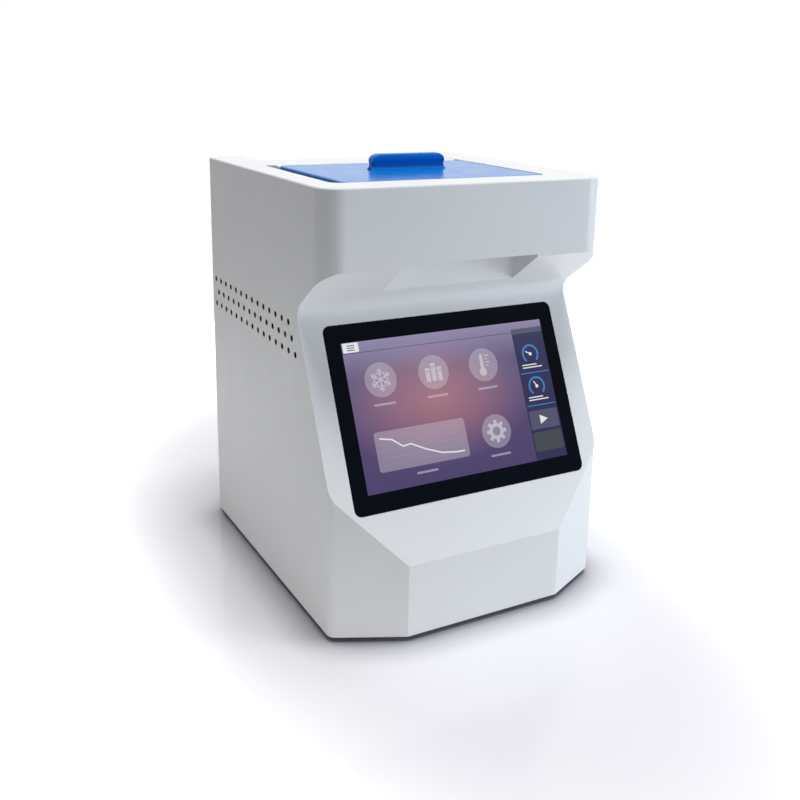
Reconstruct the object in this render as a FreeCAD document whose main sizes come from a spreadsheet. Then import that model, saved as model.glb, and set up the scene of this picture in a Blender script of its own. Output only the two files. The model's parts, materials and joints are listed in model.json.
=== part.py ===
import FreeCAD, Part
import Sketcher
import os
import re

# Benchtop controlled-rate freezer: a faceted moulded housing with a slanted touch screen,
# a blue hinged lid over the sample chamber, and the cryocooler, boards, supply and fan inside.
# Millimetres. X runs across the front, Y runs to the back, Z runs up from the floor.
# The origin is on the floor, under the middle of the casing.

document = FreeCAD.newDocument("controlled_rate_freezer")
sheet = document.addObject("Spreadsheet::Sheet", "sizes")

SIZES = {
    # Moulded casing
    "casing_width": 290, "casing_depth": 339, "casing_height": 397, "foot_height": 5,
    "casing_wall": 4, "display_wall": 6.5,
    "head_setback": 42, "head_base": 327, "neck_setback": 101, "neck_height": 284.7, "chin_height": 69,
    "corner_cut_width": 63.4, "corner_cut_depth": 30.2,
    "head_corner_radius": 20, "cut_corner_radius": 9, "chin_corner_radius": 2.5,
    "neck_radius": 14, "rear_corner_radius": 6, "edge_radius": 1.6, "rim_radius": 2,
    # Recessed back of the casing
    "rear_recess": 6, "rear_lip_width": 10, "rear_lip_thickness": 4, "panel_thickness": 2, "panel_gap": 0.4,
    # Finger recess under the head
    "grip_width": 140, "grip_depth": 39, "grip_rise": 26, "grip_lean": 8, "grip_notch": 2,
    # Side vents, three staggered rows
    "vent_radius": 3, "vent_rows": 3, "vent_row_pitch": 13.4, "vent_count": 15,
    "vent_height": 242.8, "vent_setback": 103.3, "vent_rear_inset": 16.3,
    # Lid well, trough behind it
    "lid_left": 108.5, "lid_right": 100.5, "lid_length": 154, "lid_setback": 37, "lid_front_gap": 1.5,
    "lid_side_gap": 1.5, "lid_height": 12,
    "lid_corner_radius": 8, "lid_wall": 3, "groove_width": 12.5, "well_depth": 18, "well_corner_radius": 10,
    "ledge_thickness": 3, "hinge_room": 15,
    "trough_depth": 5.5, "trough_width": 187, "trough_slope": 16,
    # Handle on the lid
    "handle_width": 82, "handle_top_width": 59, "handle_height": 15, "handle_thickness": 11,
    "handle_setback": 126, "handle_shoulder": 10, "handle_waist": 7.4, "handle_foot": 14,
    "handle_edge_radius": 1.2, "handle_screw_spacing": 46, "handle_foot_edge": 0.8,
    "handle_waist_low": 3.75, "handle_waist_high": 6.3, "handle_grip_low": 9,
    # Lid hinges
    "hinge_spacing": 140, "hinge_width": 40, "knuckle_radius": 4.5, "leaf_width": 18, "knuckle_gap": 0.5,
    "hinge_pin_radius": 2, "hinge_clearance": 0.05, "hinge_drop": 9, "hinge_behind_lid": 8,
    "leaf_thickness": 2, "leaf_height": 8,
    # Sample chamber
    "chamber_setback": 128, "chamber_width": 161, "chamber_length": 97, "chamber_depth": 88,
    "liner_wall": 1.5, "liner_flange": 8, "liner_gap": 0.5, "liner_radius": 8, "mouth_gap": 1.5,
    "insulation_wall": 11, "insulation_floor": 18,
    "cold_plate_thickness": 10, "sample_plate_thickness": 12, "plate_gap": 1, "sample_pocket": 2.5,
    "sample_rim": 8, "lift_hole_radius": 3,
    "plug_depth": 25, "plug_gap": 2, "plug_taper": 8, "plug_draft": 4, "plug_wall": 1.5, "foam_rise": 2,
    "seal_width": 5, "seal_gap": 0.3, "seal_inset": 1,
    # Cryocooler under the chamber
    "link_radius": 25, "link_thickness": 8.5, "link_neck": 4, "link_room": 6,
    "finger_radius": 12, "finger_flange_width": 5, "finger_flange_thickness": 3, "finger_bevel": 3,
    "cooler_radius": 42, "cooler_height": 100, "cooler_dome": 14.7,
    "cooler_flange_radius": 50, "cooler_flange_thickness": 4, "collar_radius": 30, "collar_height": 40,
    "fin_radius": 52, "fin_count": 7, "fin_pitch": 4.5, "fin_thickness": 1.5, "fin_lift": 2, "sleeve_wall": 2,
    "mount_plate_width": 140, "mount_plate_length": 112, "mount_plate_thickness": 4,
    "mount_spacing": 116, "mount_depth_spacing": 92, "mount_radius": 7, "mount_waist": 5.6, "mount_height": 9,
    "absorber_radius": 27, "absorber_height": 14, "absorber_neck": 8,
    # Sheet-metal chassis
    "chassis_length": 124, "sheet_thickness": 2, "chassis_foot": 14, "chassis_rail": 26,
    "chassis_window": 44, "chassis_window_rise": 60, "shelf_height": 150, "shelf_flange": 12,
    "shelf_bore_gap": 4,
    # Touch screen in the slanted face
    "glass_width": 247, "glass_height": 169.5, "glass_drop": 18, "glass_thickness": 3, "glass_radius": 7,
    "glass_gap": 0.4, "window_width": 231, "window_height": 152, "window_radius": 2,
    "panel_margin": 0.8, "screen_thickness": 6, "bracket_width": 212, "bracket_height": 177,
    "bracket_sheet": 1.5, "bracket_window_width": 170, "bracket_window_height": 110,
    "bracket_post_radius": 3.5, "bracket_post_across": 196, "bracket_post_along": 166,
    "board_thickness": 1.6, "board_width": 190, "board_height": 96, "spacer_height": 6, "spacer_radius": 3,
    "board_hole_inset": 6, "component_height": 16,
    # Power supply and driver board on the chassis sides
    "supply_length": 150, "supply_height": 96, "supply_depth": 34, "supply_lift": 12, "supply_room": 7,
    "supply_slots": 12, "supply_slot_width": 4, "supply_slot_inset": 14, "supply_slot_depth": 2,
    "driver_length": 110, "driver_height": 120, "driver_lift": 60,
    # Cooling fan in the back panel
    "fan_size": 92, "fan_depth": 25, "fan_bore": 44.5, "fan_hub": 17, "fan_tip_gap": 1.5, "fan_blades": 7,
    "blade_chord": 17, "blade_thickness": 1.6, "blade_pitch": 40, "fan_hole_spacing": 82.5, "fan_height": 196,
    "fan_screw_radius": 2, "guard_wire": 1.6, "guard_rings": 5, "guard_eye_gap": 0.4, "duct_wall": 1.5,
    "duct_gap": 3, "strut_width": 4, "strut_thickness": 3, "rotor_gap": 1, "rotor_rear_gap": 2,
    "blade_root": 0.6, "fan_screw_head_radius": 3.2, "fan_screw_head_height": 1.6,
    # Mains inlet, switch and data ports
    "inlet_across": 104, "inlet_height": 48, "inlet_width": 30, "inlet_tall": 48, "inlet_flange": 2,
    "inlet_body_width": 27, "inlet_body_tall": 45, "inlet_depth": 24, "cutout_gap": 0.4,
    "socket_width": 24.4, "socket_tall": 16.6, "socket_deep": 16.5, "socket_rise": 9.5, "socket_bevel": 4,
    "contact_width": 2, "contact_tall": 4, "contact_spacing": 14, "contact_offset": 4,
    "drawer_width": 20, "drawer_tall": 9, "drawer_deep": 18, "drawer_drop": 14, "drawer_gap": 0.3,
    "drawer_notch": 2, "drawer_floor": 1.5, "drawer_wall": 2, "drawer_front": 4,
    "switch_rise": 45, "switch_width": 22, "switch_tall": 30, "switch_flange": 2, "switch_body_width": 19,
    "switch_body_tall": 27, "switch_depth": 18, "switch_floor": 3,
    "rocker_width": 13, "rocker_tall": 21, "rocker_gap": 0.5,
    "rocker_reach": 2.6, "rocker_dip": 1, "rocker_depth": 6, "rocker_shoulder": 2.1, "rocker_keel": 3.78,
    "rocker_tilt": 7,
    "port_across": 100, "port_height": 20, "network_width": 16, "network_tall": 13.5, "network_deep": 21,
    "network_wall": 1.2, "network_side_wall": 2.2, "network_key_width": 6, "network_key_tall": 2.5,
    "network_bay_deep": 14, "usb_width": 13.2, "usb_tall": 5.8, "usb_deep": 17, "usb_wall": 0.7,
    "usb_floor": 2, "usb_tongue": 1.8, "usb_tongue_inset": 1.6, "port_spacing": 24,
    "io_board_width": 56, "io_board_length": 44, "io_board_gap": 1, "io_post_inset": 12,
    # Base plate, feet and fasteners
    "base_plate_thickness": 2, "base_gap": 0.4, "foot_radius": 11, "foot_spacing": 210, "foot_inset": 45,
    "foot_rear_inset": 30, "foot_recess": 2.6, "foot_recess_radius": 5.5, "foot_bore_gap": 0.3,
    "foot_chamfer": 2, "foot_edge": 0.6, "boss_radius": 5.5, "boss_height": 26, "boss_sink": 1,
    "boss_front_inset": 70, "boss_rear_inset": 40, "screw_head_radius": 3.6, "screw_head_height": 2,
    "screw_radius": 2, "screw_length": 8, "panel_screw_rows": 4,
}
for row, (name, number) in enumerate(SIZES.items(), start=1):
    sheet.set(f"A{row}", name)
    sheet.set(f"B{row}", str(number))
    sheet.setAlias(f"B{row}", name)
document.recompute()

# Places that follow from the sizes, each written once
PLACES = {
    "front": "-casing_depth / 2", "rear": "casing_depth / 2", "side": "casing_width / 2",
    "floor_z": "foot_height", "top": "foot_height + casing_height",
    "head_front": "front + head_setback", "neck_back": "front + neck_setback",
    "chin_top": "floor_z + chin_height", "neck_z": "floor_z + neck_height", "head_z": "floor_z + head_base",
    "slant_rise": "neck_height - chin_height",
    "slant_length": "sqrt(slant_rise * slant_rise + neck_setback * neck_setback)",
    "slant_sin": "slant_rise / slant_length", "slant_cos": "neck_setback / slant_length",
    "neck_rise": "head_base - neck_height", "neck_run": "neck_setback - head_setback",
    "neck_length": "sqrt(neck_rise * neck_rise + neck_run * neck_run)",
    "neck_sin": "neck_rise / neck_length", "neck_cos": "neck_run / neck_length",
    "turn_sin": "slant_sin * neck_cos + slant_cos * neck_sin",
    "panel_face": "rear - rear_recess", "panel_inner": "panel_face - panel_thickness",
    "lip_front": "panel_inner - rear_lip_thickness",
    "plate_top": "floor_z + base_plate_thickness",
    "lid_front": "head_front + lid_setback", "lid_rear": "lid_front + lid_length",
    "lid_base": "top - lid_height",
    "vent_pitch": "(casing_depth - vent_setback - vent_rear_inset) / (vent_count - 1)",
    "chassis_width": "casing_width - 2 * (casing_wall + supply_depth + supply_room)",
    "grip_back": "head_front + grip_depth", "grip_mouth": "head_z - neck_rise * grip_depth / neck_run",
    "grip_top": "head_z + grip_rise",
    "well_front": "lid_front - lid_front_gap", "well_rear": "lid_rear + hinge_room",
    "well_left": "-lid_left - groove_width", "well_right": "lid_right + lid_side_gap",
    "groove_rear": "lid_rear + lid_side_gap", "ledge_z": "top - well_depth",
    "hinge_y": "lid_rear + hinge_behind_lid", "hinge_z": "top - hinge_drop",
    "handle_y": "head_front + handle_setback",
    "axis_y": "head_front + chamber_setback",
    "liner_side": "chamber_width / 2 + liner_wall", "liner_half": "chamber_length / 2 + liner_wall",
    "liner_z": "ledge_z - chamber_depth", "chamber_floor": "liner_z + liner_wall",
    "block_z": "liner_z - insulation_floor", "block_side": "liner_side + liner_gap + insulation_wall",
    "block_half": "liner_half + liner_gap + insulation_wall",
    "link_z": "chamber_floor - link_thickness - liner_wall", "shelf_z": "floor_z + shelf_height",
    "mount_z": "shelf_z + sheet_thickness", "mount_plate_z": "mount_z + mount_height",
    "cooler_z": "mount_plate_z + mount_plate_thickness", "collar_z": "cooler_z + cooler_flange_thickness",
    "fan_z": "floor_z + fan_height", "glass_middle": "glass_drop + glass_height / 2",
    "inlet_z": "floor_z + inlet_height", "switch_z": "inlet_z + switch_rise",
    "port_z": "floor_z + port_height", "rotor_radius": "fan_bore - fan_tip_gap",
    "rotor_depth": "fan_depth - strut_thickness - rotor_gap - rotor_rear_gap",
    "boss_across": "side - casing_wall - boss_radius + boss_sink",
    "plug_side": "chamber_width / 2 - plug_gap", "plug_half": "chamber_length / 2 - plug_gap",
    "foot_depth_spacing": "casing_depth - foot_inset - foot_rear_inset",
    "foam_side": "plug_side - plug_wall - plug_draft", "foam_half": "plug_half - plug_wall - plug_draft",
    "bracket_z": "glass_thickness + screen_thickness",
}
# How far a cutting outline reaches past the material
REACH = "10"
WORD = re.compile(r"[a-z][a-z_]*")

# Larger components on each board: place and half size as parts of the board's sides, then height
# as a part of the tallest
CONTROLLER_PARTS = (
    (-0.16, 0.1, 0.085, 0.17, 0.25), (0.1, 0.15, 0.05, 0.12, 0.12), (0.1, -0.19, 0.075, 0.1, 0.2),
    (-0.3, -0.27, 0.04, 0.13, 0.56), (0.33, -0.2, 0.045, 0.15, 0.56),
)
DRIVER_PARTS = ((-0.2, 0.25, 0.11, 0.16, 1), (0.13, 0.22, 0.08, 0.12, 0.75), (-0.09, 0.7, 0.18, 0.12, 0.25))


def linked(text):
    """Write a formula of sizes and places as an expression on the sheet."""
    def widen(match):
        word = match.group(0)
        if word in PLACES:
            return "(" + linked(PLACES[word]) + ")"
        if word in SIZES:
            return "sizes." + word
        return word
    return WORD.sub(widen, text)


def number(text):
    """The present value of a formula."""
    result = sheet.evalExpression(linked(text))
    return float(getattr(result, "Value", result))


def bind(thing, **formulas):
    """Bind properties to formulas; a dot in a property's name is written as two underscores."""
    for name, text in formulas.items():
        thing.setExpression(name.replace("__", "."), linked(text))


# Body helpers
def new_body(label):
    body = document.addObject("PartDesign::Body", label)
    body.Label = label
    body.AllowCompound = True
    return body


def place(thing, x="0", y="0", z="0", turn=None, axis=(1, 0, 0)):
    """Put a sub-part at a place, turned by a formula in degrees about an axis."""
    if turn is not None:
        thing.Placement = FreeCAD.Placement(
            FreeCAD.Vector(), FreeCAD.Rotation(FreeCAD.Vector(*axis), max(number(turn), 1))
        )
        bind(thing, Placement__Rotation__Angle=turn)
    bind(thing, Placement__Base__x=x, Placement__Base__y=y, Placement__Base__z=z)
    return thing


SLANT = "atan(slant_rise / neck_setback)"


def place_on_slant(thing):
    """Put a sub-part in the slanted face: local Y runs up the face, local Z out of it."""
    return place(thing, "0", "neck_back", "neck_z", SLANT)


def new_sketch(body, plane, offset="0"):
    sketch = body.newObject("Sketcher::SketchObject", "outline")
    role = plane + "_Plane"
    datum = [feature for feature in body.Origin.OriginFeatures if feature.Role == role][0]
    sketch.AttachmentSupport = [(datum, "")]
    sketch.MapMode = "FlatFace"
    bind(sketch, AttachmentOffset__Base__z=offset)
    return sketch


def draw_polygon(sketch, points):
    """Closed outline through points, each a pair of formulas."""
    first = sketch.GeometryCount
    places = [FreeCAD.Vector(number(x), number(y), 0) for x, y in points]
    total = len(places)
    for index in range(total):
        sketch.addGeometry(Part.LineSegment(places[index], places[(index + 1) % total]), False)
    for index in range(total):
        following = first + (index + 1) % total
        sketch.addConstraint(Sketcher.Constraint("Coincident", first + index, 2, following, 1))
    for index, (x, y) in enumerate(points):
        for kind, text in (("DistanceX", x), ("DistanceY", y)):
            rule = Sketcher.Constraint(kind, -1, 1, first + index, 1, number(text))
            sketch.setExpression(f"Constraints[{sketch.addConstraint(rule)}]", linked(text))


def draw_circle(sketch, x, y, radius):
    centre = FreeCAD.Vector(number(x), number(y), 0)
    index = sketch.addGeometry(Part.Circle(centre, FreeCAD.Vector(0, 0, 1), number(radius)), False)
    rules = (
        (Sketcher.Constraint("DistanceX", -1, 1, index, 3, number(x)), x),
        (Sketcher.Constraint("DistanceY", -1, 1, index, 3, number(y)), y),
        (Sketcher.Constraint("Radius", index, number(radius)), radius),
    )
    for rule, text in rules:
        sketch.setExpression(f"Constraints[{sketch.addConstraint(rule)}]", linked(text))


def rectangle(left, right, low, high):
    return [(left, low), (right, low), (right, high), (left, high)]


def centred(half_width, half_height, x="0", y="0"):
    return rectangle(
        f"{x} - ({half_width})", f"{x} + ({half_width})", f"{y} - ({half_height})", f"{y} + ({half_height})"
    )


def mirrored(points):
    """An outline's right half, from bottom to top, with its mirror image across the first axis."""
    return points + [(f"-({x})", y) for x, y in reversed(points)]


def draw(sketch, shapes):
    """Draw outlines: a list of points is a polygon, a tuple of three formulas is a circle."""
    for shape in shapes:
        if isinstance(shape, list):
            draw_polygon(sketch, shape)
        else:
            draw_circle(sketch, *shape)


def pad(body, plane, low, high, *shapes, taper=None):
    """Solid between two levels across a plane."""
    from_low = plane != "XZ"
    sketch = new_sketch(body, plane, low if from_low else f"-({high})")
    draw(sketch, shapes)
    feature = body.newObject("PartDesign::Pad", "pad")
    feature.Profile = sketch
    bind(feature, Length=f"({high}) - ({low})")
    if taper is not None:
        bind(feature, TaperAngle=taper)
    body.Tip = feature
    document.recompute()
    return feature


def pocket(body, plane, low, high, *shapes):
    """Hollow between two levels across a plane."""
    before = body.Shape.Volume
    sketch = new_sketch(body, plane, high if plane != "XZ" else f"-({low})")
    draw(sketch, shapes)
    feature = body.newObject("PartDesign::Pocket", "pocket")
    feature.Profile = sketch
    bind(feature, Length=f"({high}) - ({low})")
    body.Tip = feature
    document.recompute()
    if body.Shape.Volume >= before:
        raise ValueError(f"a pocket in {body.Label} cuts nothing")
    return feature


def pattern(body, feature, *rows):
    """Repeat a feature along one or two of X, Y and Z: rows of axis, length, count."""
    repeat = body.newObject("PartDesign::LinearPattern", "row")
    repeat.Originals = [feature]
    axes = {item.Role: item for item in body.Origin.OriginFeatures}
    for suffix, (axis, length, count) in zip(("", "2"), rows):
        setattr(repeat, "Direction" + suffix, (axes[axis + "_Axis"], [""]))
        bind(repeat, **{"Length" + suffix: length, "Occurrences" + suffix: count})
    body.Tip = repeat
    document.recompute()
    return repeat


def around(body, feature, axis, count):
    """Repeat a feature round an axis."""
    repeat = body.newObject("PartDesign::PolarPattern", "ring")
    repeat.Originals = [feature]
    axes = {item.Role: item for item in body.Origin.OriginFeatures}
    repeat.Axis = (axes[axis + "_Axis"], [""])
    repeat.Angle = 360
    bind(repeat, Occurrences=count)
    body.Tip = repeat
    document.recompute()
    return repeat


def turned(body, points, axis="Z"):
    """Solid of revolution about Z, or about Y, of an outline given as radius and height."""
    sketch = new_sketch(body, "XZ" if axis == "Z" else "XY")
    draw_polygon(sketch, points)
    feature = body.newObject("PartDesign::Revolution", "turning")
    feature.Profile = sketch
    feature.ReferenceAxis = (sketch, ["V_Axis"])
    feature.Angle = 360
    body.Tip = feature
    document.recompute()
    return feature


def round_edges(body, radius, test):
    """Fillet the edges whose two ends pass a test."""
    base = body.Tip
    names = []
    for index, edge in enumerate(base.Shape.Edges, start=1):
        ends = [vertex.Point for vertex in edge.Vertexes]
        if len(ends) == 2 and test(ends[0], ends[1]):
            names.append(f"Edge{index}")
    if not names:
        raise ValueError(f"no edges to round on {body.Label}")
    feature = body.newObject("PartDesign::Fillet", "rounding")
    feature.Base = (base, names)
    bind(feature, Radius=radius)
    body.Tip = feature
    document.recompute()
    if feature.Shape.isNull() or not feature.Shape.isValid():
        raise ValueError(f"a rounding on {body.Label} fails")
    return feature


def near(first, second):
    return abs(first - second) < 0.05


def upright(a, b):
    """An edge that runs along Z."""
    return near(a.x, b.x) and near(a.y, b.y)


def cut(label, base, *tools):
    """Remove tools from a base, one after another."""
    for tool in tools:
        result = document.addObject("Part::Cut", "cut")
        result.Base = base
        result.Tool = tool
        base = result
    base.Label = label
    document.recompute()
    return base


def block(label, left, right, front, back, low, high):
    """Plain block tied to formulas."""
    box = document.addObject("Part::Box", label)
    bind(box, Length=f"({right}) - ({left})", Width=f"({back}) - ({front})", Height=f"({high}) - ({low})")
    return place(box, left, front, low)


# Housing: outer form, inner room, and what is cut through the walls
def corner_cut(body, side, shift):
    """Slope off one front corner of the chin, moved back by shift."""
    slope = "corner_cut_depth / corner_cut_width"
    inner = f"side - corner_cut_width - {REACH}"
    outer = f"side + {REACH}"
    low = f"front + {shift} - {REACH} * {slope}"
    high = f"front + {shift} + (corner_cut_width + {REACH}) * {slope}"
    points = [(inner, low), (outer, low), (outer, high)]
    if side < 0:
        points = [(f"-({x})", y) for x, y in points]
    pocket(body, "XY", "0", "top + 1", points)


def casing_form():
    body = new_body("casing_form")
    profile = [
        ("front", "floor_z"), ("rear", "floor_z"), ("rear", "top"), ("head_front", "top"),
        ("head_front", "head_z"), ("neck_back", "neck_z"), ("front", "chin_top"),
    ]
    pad(body, "YZ", "-side", "side", profile)
    for side in (-1, 1):
        corner_cut(body, side, "0")
    half = number("side")
    head = number("head_front")
    neck = (number("neck_back"), number("neck_z"))
    cut_back = number("front + corner_cut_depth")
    cut_side = half - number("corner_cut_width")
    round_edges(body, "head_corner_radius", lambda a, b: upright(a, b) and near(a.y, head))
    round_edges(body, "cut_corner_radius", lambda a, b: upright(a, b) and near(a.y, cut_back))
    round_edges(body, "rear_corner_radius", lambda a, b: upright(a, b) and near(a.y, number("rear")))
    round_edges(body, "neck_radius", lambda a, b: all(
        near(p.y, neck[0]) and near(p.z, neck[1]) and near(abs(p.x), half) for p in (a, b)))
    round_edges(body, "chin_corner_radius", lambda a, b: upright(a, b) and near(abs(a.x), cut_side))
    return body


def room_form():
    """The space inside the walls, open at the bottom and ending at the lip round the back."""
    body = new_body("room_form")
    neck_y = "neck_back + (display_wall * neck_cos + casing_wall * slant_cos) / turn_sin"
    neck_up = "neck_z + (casing_wall * slant_sin - display_wall * neck_sin) / turn_sin"
    head_up = "head_z + casing_wall * (1 - neck_sin) / neck_cos"
    chin_up = "chin_top + (casing_wall * slant_sin - display_wall) / slant_cos"
    ceiling = "top - casing_wall"
    profile = [
        ("front + casing_wall", "floor_z - 1"), ("lip_front", "floor_z - 1"), ("lip_front", ceiling),
        ("head_front + casing_wall", ceiling), ("head_front + casing_wall", head_up),
        (neck_y, neck_up), ("front + casing_wall", chin_up),
    ]
    pad(body, "YZ", "casing_wall - side", "side - casing_wall", profile)
    slope = "sqrt(corner_cut_width * corner_cut_width + corner_cut_depth * corner_cut_depth)"
    for side in (-1, 1):
        corner_cut(body, side, f"casing_wall * {slope} / corner_cut_width")
    head = number("head_front + casing_wall")
    round_edges(body, "head_corner_radius - casing_wall", lambda a, b: upright(a, b) and near(a.y, head))
    return body


def trough_form(label, grow):
    """Shallow trough across the deck behind the lid, grown by a wall where one is kept."""
    body = new_body(label)
    half = f"trough_width / 2 + {grow}"
    points = mirrored([(half, f"top - trough_depth - {grow}"), (f"{half} + trough_slope", "top + 0.01")])
    pad(body, "XZ", f"well_rear - {grow} - 1", "rear + 1", points)
    return body


def screen_cut(label, width, height, radius, low, high):
    """Rounded block in the slanted face, centred on the glass."""
    body = new_body(label)
    pad(body, "XY", low, high, centred(f"{width} / 2", f"{height} / 2", "0", "-glass_middle"))
    round_edges(body, radius, upright)
    return place_on_slant(body)


def housing_shell():
    room = cut(
        "room_left_free", room_form(),
        block("well_walls", "well_left - casing_wall", "well_right + casing_wall", "well_front - casing_wall",
              "well_rear + casing_wall", "ledge_z - ledge_thickness", "top"),
        trough_form("trough_walls", "casing_wall"),
        block("grip_walls", "-grip_width / 2 - casing_wall", "grip_width / 2 + casing_wall", "head_front",
              "grip_back + casing_wall", "neck_z", "grip_top + casing_wall"),
    )
    shell = cut(
        "open_shell", casing_form(), room,
        screen_cut("glass_seat", "(glass_width + 2 * glass_gap)", "(glass_height + 2 * glass_gap)",
                   "glass_radius", "-glass_thickness", "1"),
        screen_cut("screen_window", "window_width", "window_height", "window_radius",
                   "-display_wall - 1", "1"),
        trough_form("trough", "0"),
    )
    body = new_body("housing_shell")
    body.BaseFeature = shell
    document.recompute()
    # Lid well with a finger groove on its left, its ledge and the mouth of the chamber
    pocket(body, "XY", "ledge_z", "top + 1", rectangle("well_left", "well_right", "well_front", "groove_rear"))
    in_well = number("ledge_z") - 0.01
    round_edges(body, "well_corner_radius", lambda a, b: upright(a, b) and min(a.z, b.z) > in_well
                and (near(a.x, number("well_left")) or near(a.x, number("well_right")))
                and near(a.y, number("well_front")))
    # Room behind the lid for its hinges and its swing
    pocket(body, "XY", "ledge_z", "top + 1",
           rectangle("-lid_left - lid_side_gap", "well_right", "lid_rear", "well_rear"))
    pocket(body, "XY", "ledge_z - ledge_thickness - 1", "ledge_z + 1",
           centred("liner_side + mouth_gap", "liner_half + mouth_gap", "0", "axis_y"))
    # Finger recess through the neck and up behind the head's front; its back wall leans forward
    opening = [
        ("head_front - 1", "neck_z"), ("grip_back", "neck_z"), ("grip_back", "grip_mouth"),
        ("grip_back - grip_lean", "grip_top"), ("head_front + casing_wall", "grip_top"),
        ("head_front + casing_wall", "head_z + grip_notch"), ("head_front - 1", "head_z + grip_notch"),
    ]
    pocket(body, "YZ", "-grip_width / 2", "grip_width / 2", opening)
    # Three staggered rows of round vents through both sides
    for index in range(SIZES["vent_rows"]):
        start = f"front + vent_setback + {index} * vent_pitch / 2"
        count = "vent_count" if index == 0 else "vent_count - 1"
        level = f"floor_z + vent_height + {index} * vent_row_pitch"
        hole = pocket(body, "YZ", "-side - 1", "side + 1", (start, level, "vent_radius"))
        pattern(body, hole, ("Y", f"vent_pitch * ({count} - 1)", count))
    # Back: a window inside the lip and a recess for the panel
    inner = "side - casing_wall"
    ceiling = "top - casing_wall - trough_depth"
    pocket(body, "XZ", "lip_front - 1", "rear + 1",
           rectangle(f"rear_lip_width - ({inner})", f"{inner} - rear_lip_width",
                     "floor_z + rear_lip_width", f"{ceiling} - rear_lip_width"))
    pocket(body, "XZ", "panel_inner", "rear + 1",
           rectangle(f"-({inner})", inner, "floor_z + casing_wall", ceiling))
    # Posts on the side walls that stand on the base plate
    for level in ("front + boss_front_inset", "rear - boss_rear_inset"):
        pad(body, "XY", "plate_top", "plate_top + boss_height",
            ("boss_across", level, "boss_radius"), ("-boss_across", level, "boss_radius"))
    top = number("top")
    side_edge = number("side")
    front_edge = number("head_front")
    rear_corner = number("rear - rear_corner_radius")
    round_edges(body, "rim_radius", lambda a, b: near(a.z, top) and near(b.z, top)
                and min(a.y, b.y) < rear_corner - 1
                and (near(abs(a.x), side_edge) or near(a.y, front_edge) or near(b.y, front_edge)))
    return body


# Lid
def lid_cover():
    """Shallow moulded tray, open below."""
    body = new_body("lid_cover")
    outline = rectangle("-lid_left", "lid_right", "lid_front", "lid_rear")
    pad(body, "XY", "lid_base", "top", outline)
    round_edges(body, "lid_corner_radius", upright)
    top = number("top")
    round_edges(body, "edge_radius", lambda a, b: near(a.z, top) and near(b.z, top))
    inner = rectangle("lid_wall - lid_left", "lid_right - lid_wall", "lid_front + lid_wall",
                      "lid_rear - lid_wall")
    pocket(body, "XY", "lid_base", "top - lid_wall", inner)
    holes = [(f"{side} * handle_screw_spacing / 2", "handle_y", "screw_radius") for side in (-1, 1)]
    pocket(body, "XY", "top - lid_wall - 1", "top + 1", *holes)
    return body


def lid_handle():
    """Low grip: waisted section drawn across, shoulders sloped, rounded all over."""
    body = new_body("lid_handle")
    section = mirrored([
        ("handle_foot / 2", "0"), ("handle_foot / 2", "handle_foot_edge"),
        ("handle_waist / 2", "handle_waist_low"), ("handle_waist / 2", "handle_waist_high"),
        ("handle_thickness / 2", "handle_grip_low"), ("handle_thickness / 2", "handle_height"),
    ])
    pad(body, "YZ", "-handle_width / 2", "handle_width / 2", section)
    for side in ("-", ""):
        top = f"handle_height + {REACH}"
        end = f"{side}(handle_width / 2 + {REACH})"
        shoulder = [
            (f"{side}handle_top_width / 2", "handle_height"), (f"{side}handle_top_width / 2", top),
            (end, top), (end, "handle_shoulder"), (f"{side}handle_width / 2", "handle_shoulder"),
        ]
        pocket(body, "XZ", "-handle_foot", "handle_foot", shoulder)
    low = number("handle_grip_low")
    round_edges(body, "handle_edge_radius", lambda a, b: min(a.z, b.z) > low - 0.01 and near(a.y, b.y)
                and not (near(a.z, low) and near(b.z, low)))
    for side in ("-", ""):
        pocket(body, "XY", "-1", "screw_length - lid_wall",
               (f"{side}handle_screw_spacing / 2", "0", "screw_radius"))
    return place(body, "0", "handle_y", "top")


def lid_screws():
    body = new_body("lid_screws")
    shank = pad(body, "XY", "0", "screw_length", ("0", "0", "screw_radius - hinge_clearance"))
    head = pad(body, "XY", "-screw_head_height", "0", ("0", "0", "screw_head_radius"))
    repeat = body.newObject("PartDesign::LinearPattern", "pair")
    repeat.Originals = [shank, head]
    axes = {item.Role: item for item in body.Origin.OriginFeatures}
    repeat.Direction = (axes["X_Axis"], [""])
    bind(repeat, Length="handle_screw_spacing")
    repeat.Occurrences = 2
    body.Tip = repeat
    document.recompute()
    return place(body, "-handle_screw_spacing / 2", "handle_y", "top - lid_wall")


def lid_liner():
    """Tapered pan that plugs the chamber, with a flange inside the cover's walls."""
    body = new_body("lid_liner")
    pad(body, "XY", "0", "plug_depth + lid_wall", centred("plug_side", "plug_half"), taper="-plug_taper")
    round_edges(body, "liner_radius / 2", lambda a, b: not near(a.z, b.z))
    rim = rectangle("lid_wall + liner_gap - lid_left", "lid_right - lid_wall - liner_gap",
                    "axis_y - lid_rear + lid_wall + liner_gap", "axis_y - lid_front - lid_wall - liner_gap")
    pad(body, "XY", "-plug_wall", "0", rim)
    pocket(body, "XY", "-plug_wall - 1", "plug_depth + lid_wall - plug_wall",
           centred("foam_side", "foam_half"))
    body.Placement = FreeCAD.Placement(FreeCAD.Vector(), FreeCAD.Rotation(FreeCAD.Vector(1, 0, 0), 180))
    return place(body, "0", "axis_y", "lid_base")


def lid_insulation():
    body = new_body("lid_insulation")
    pad(body, "XY", "lid_base - plug_depth - lid_wall + plug_wall", "lid_base + plug_wall + foam_rise",
        centred("foam_side - liner_gap / 2", "foam_half - liner_gap / 2", "0", "axis_y"))
    return body


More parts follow.
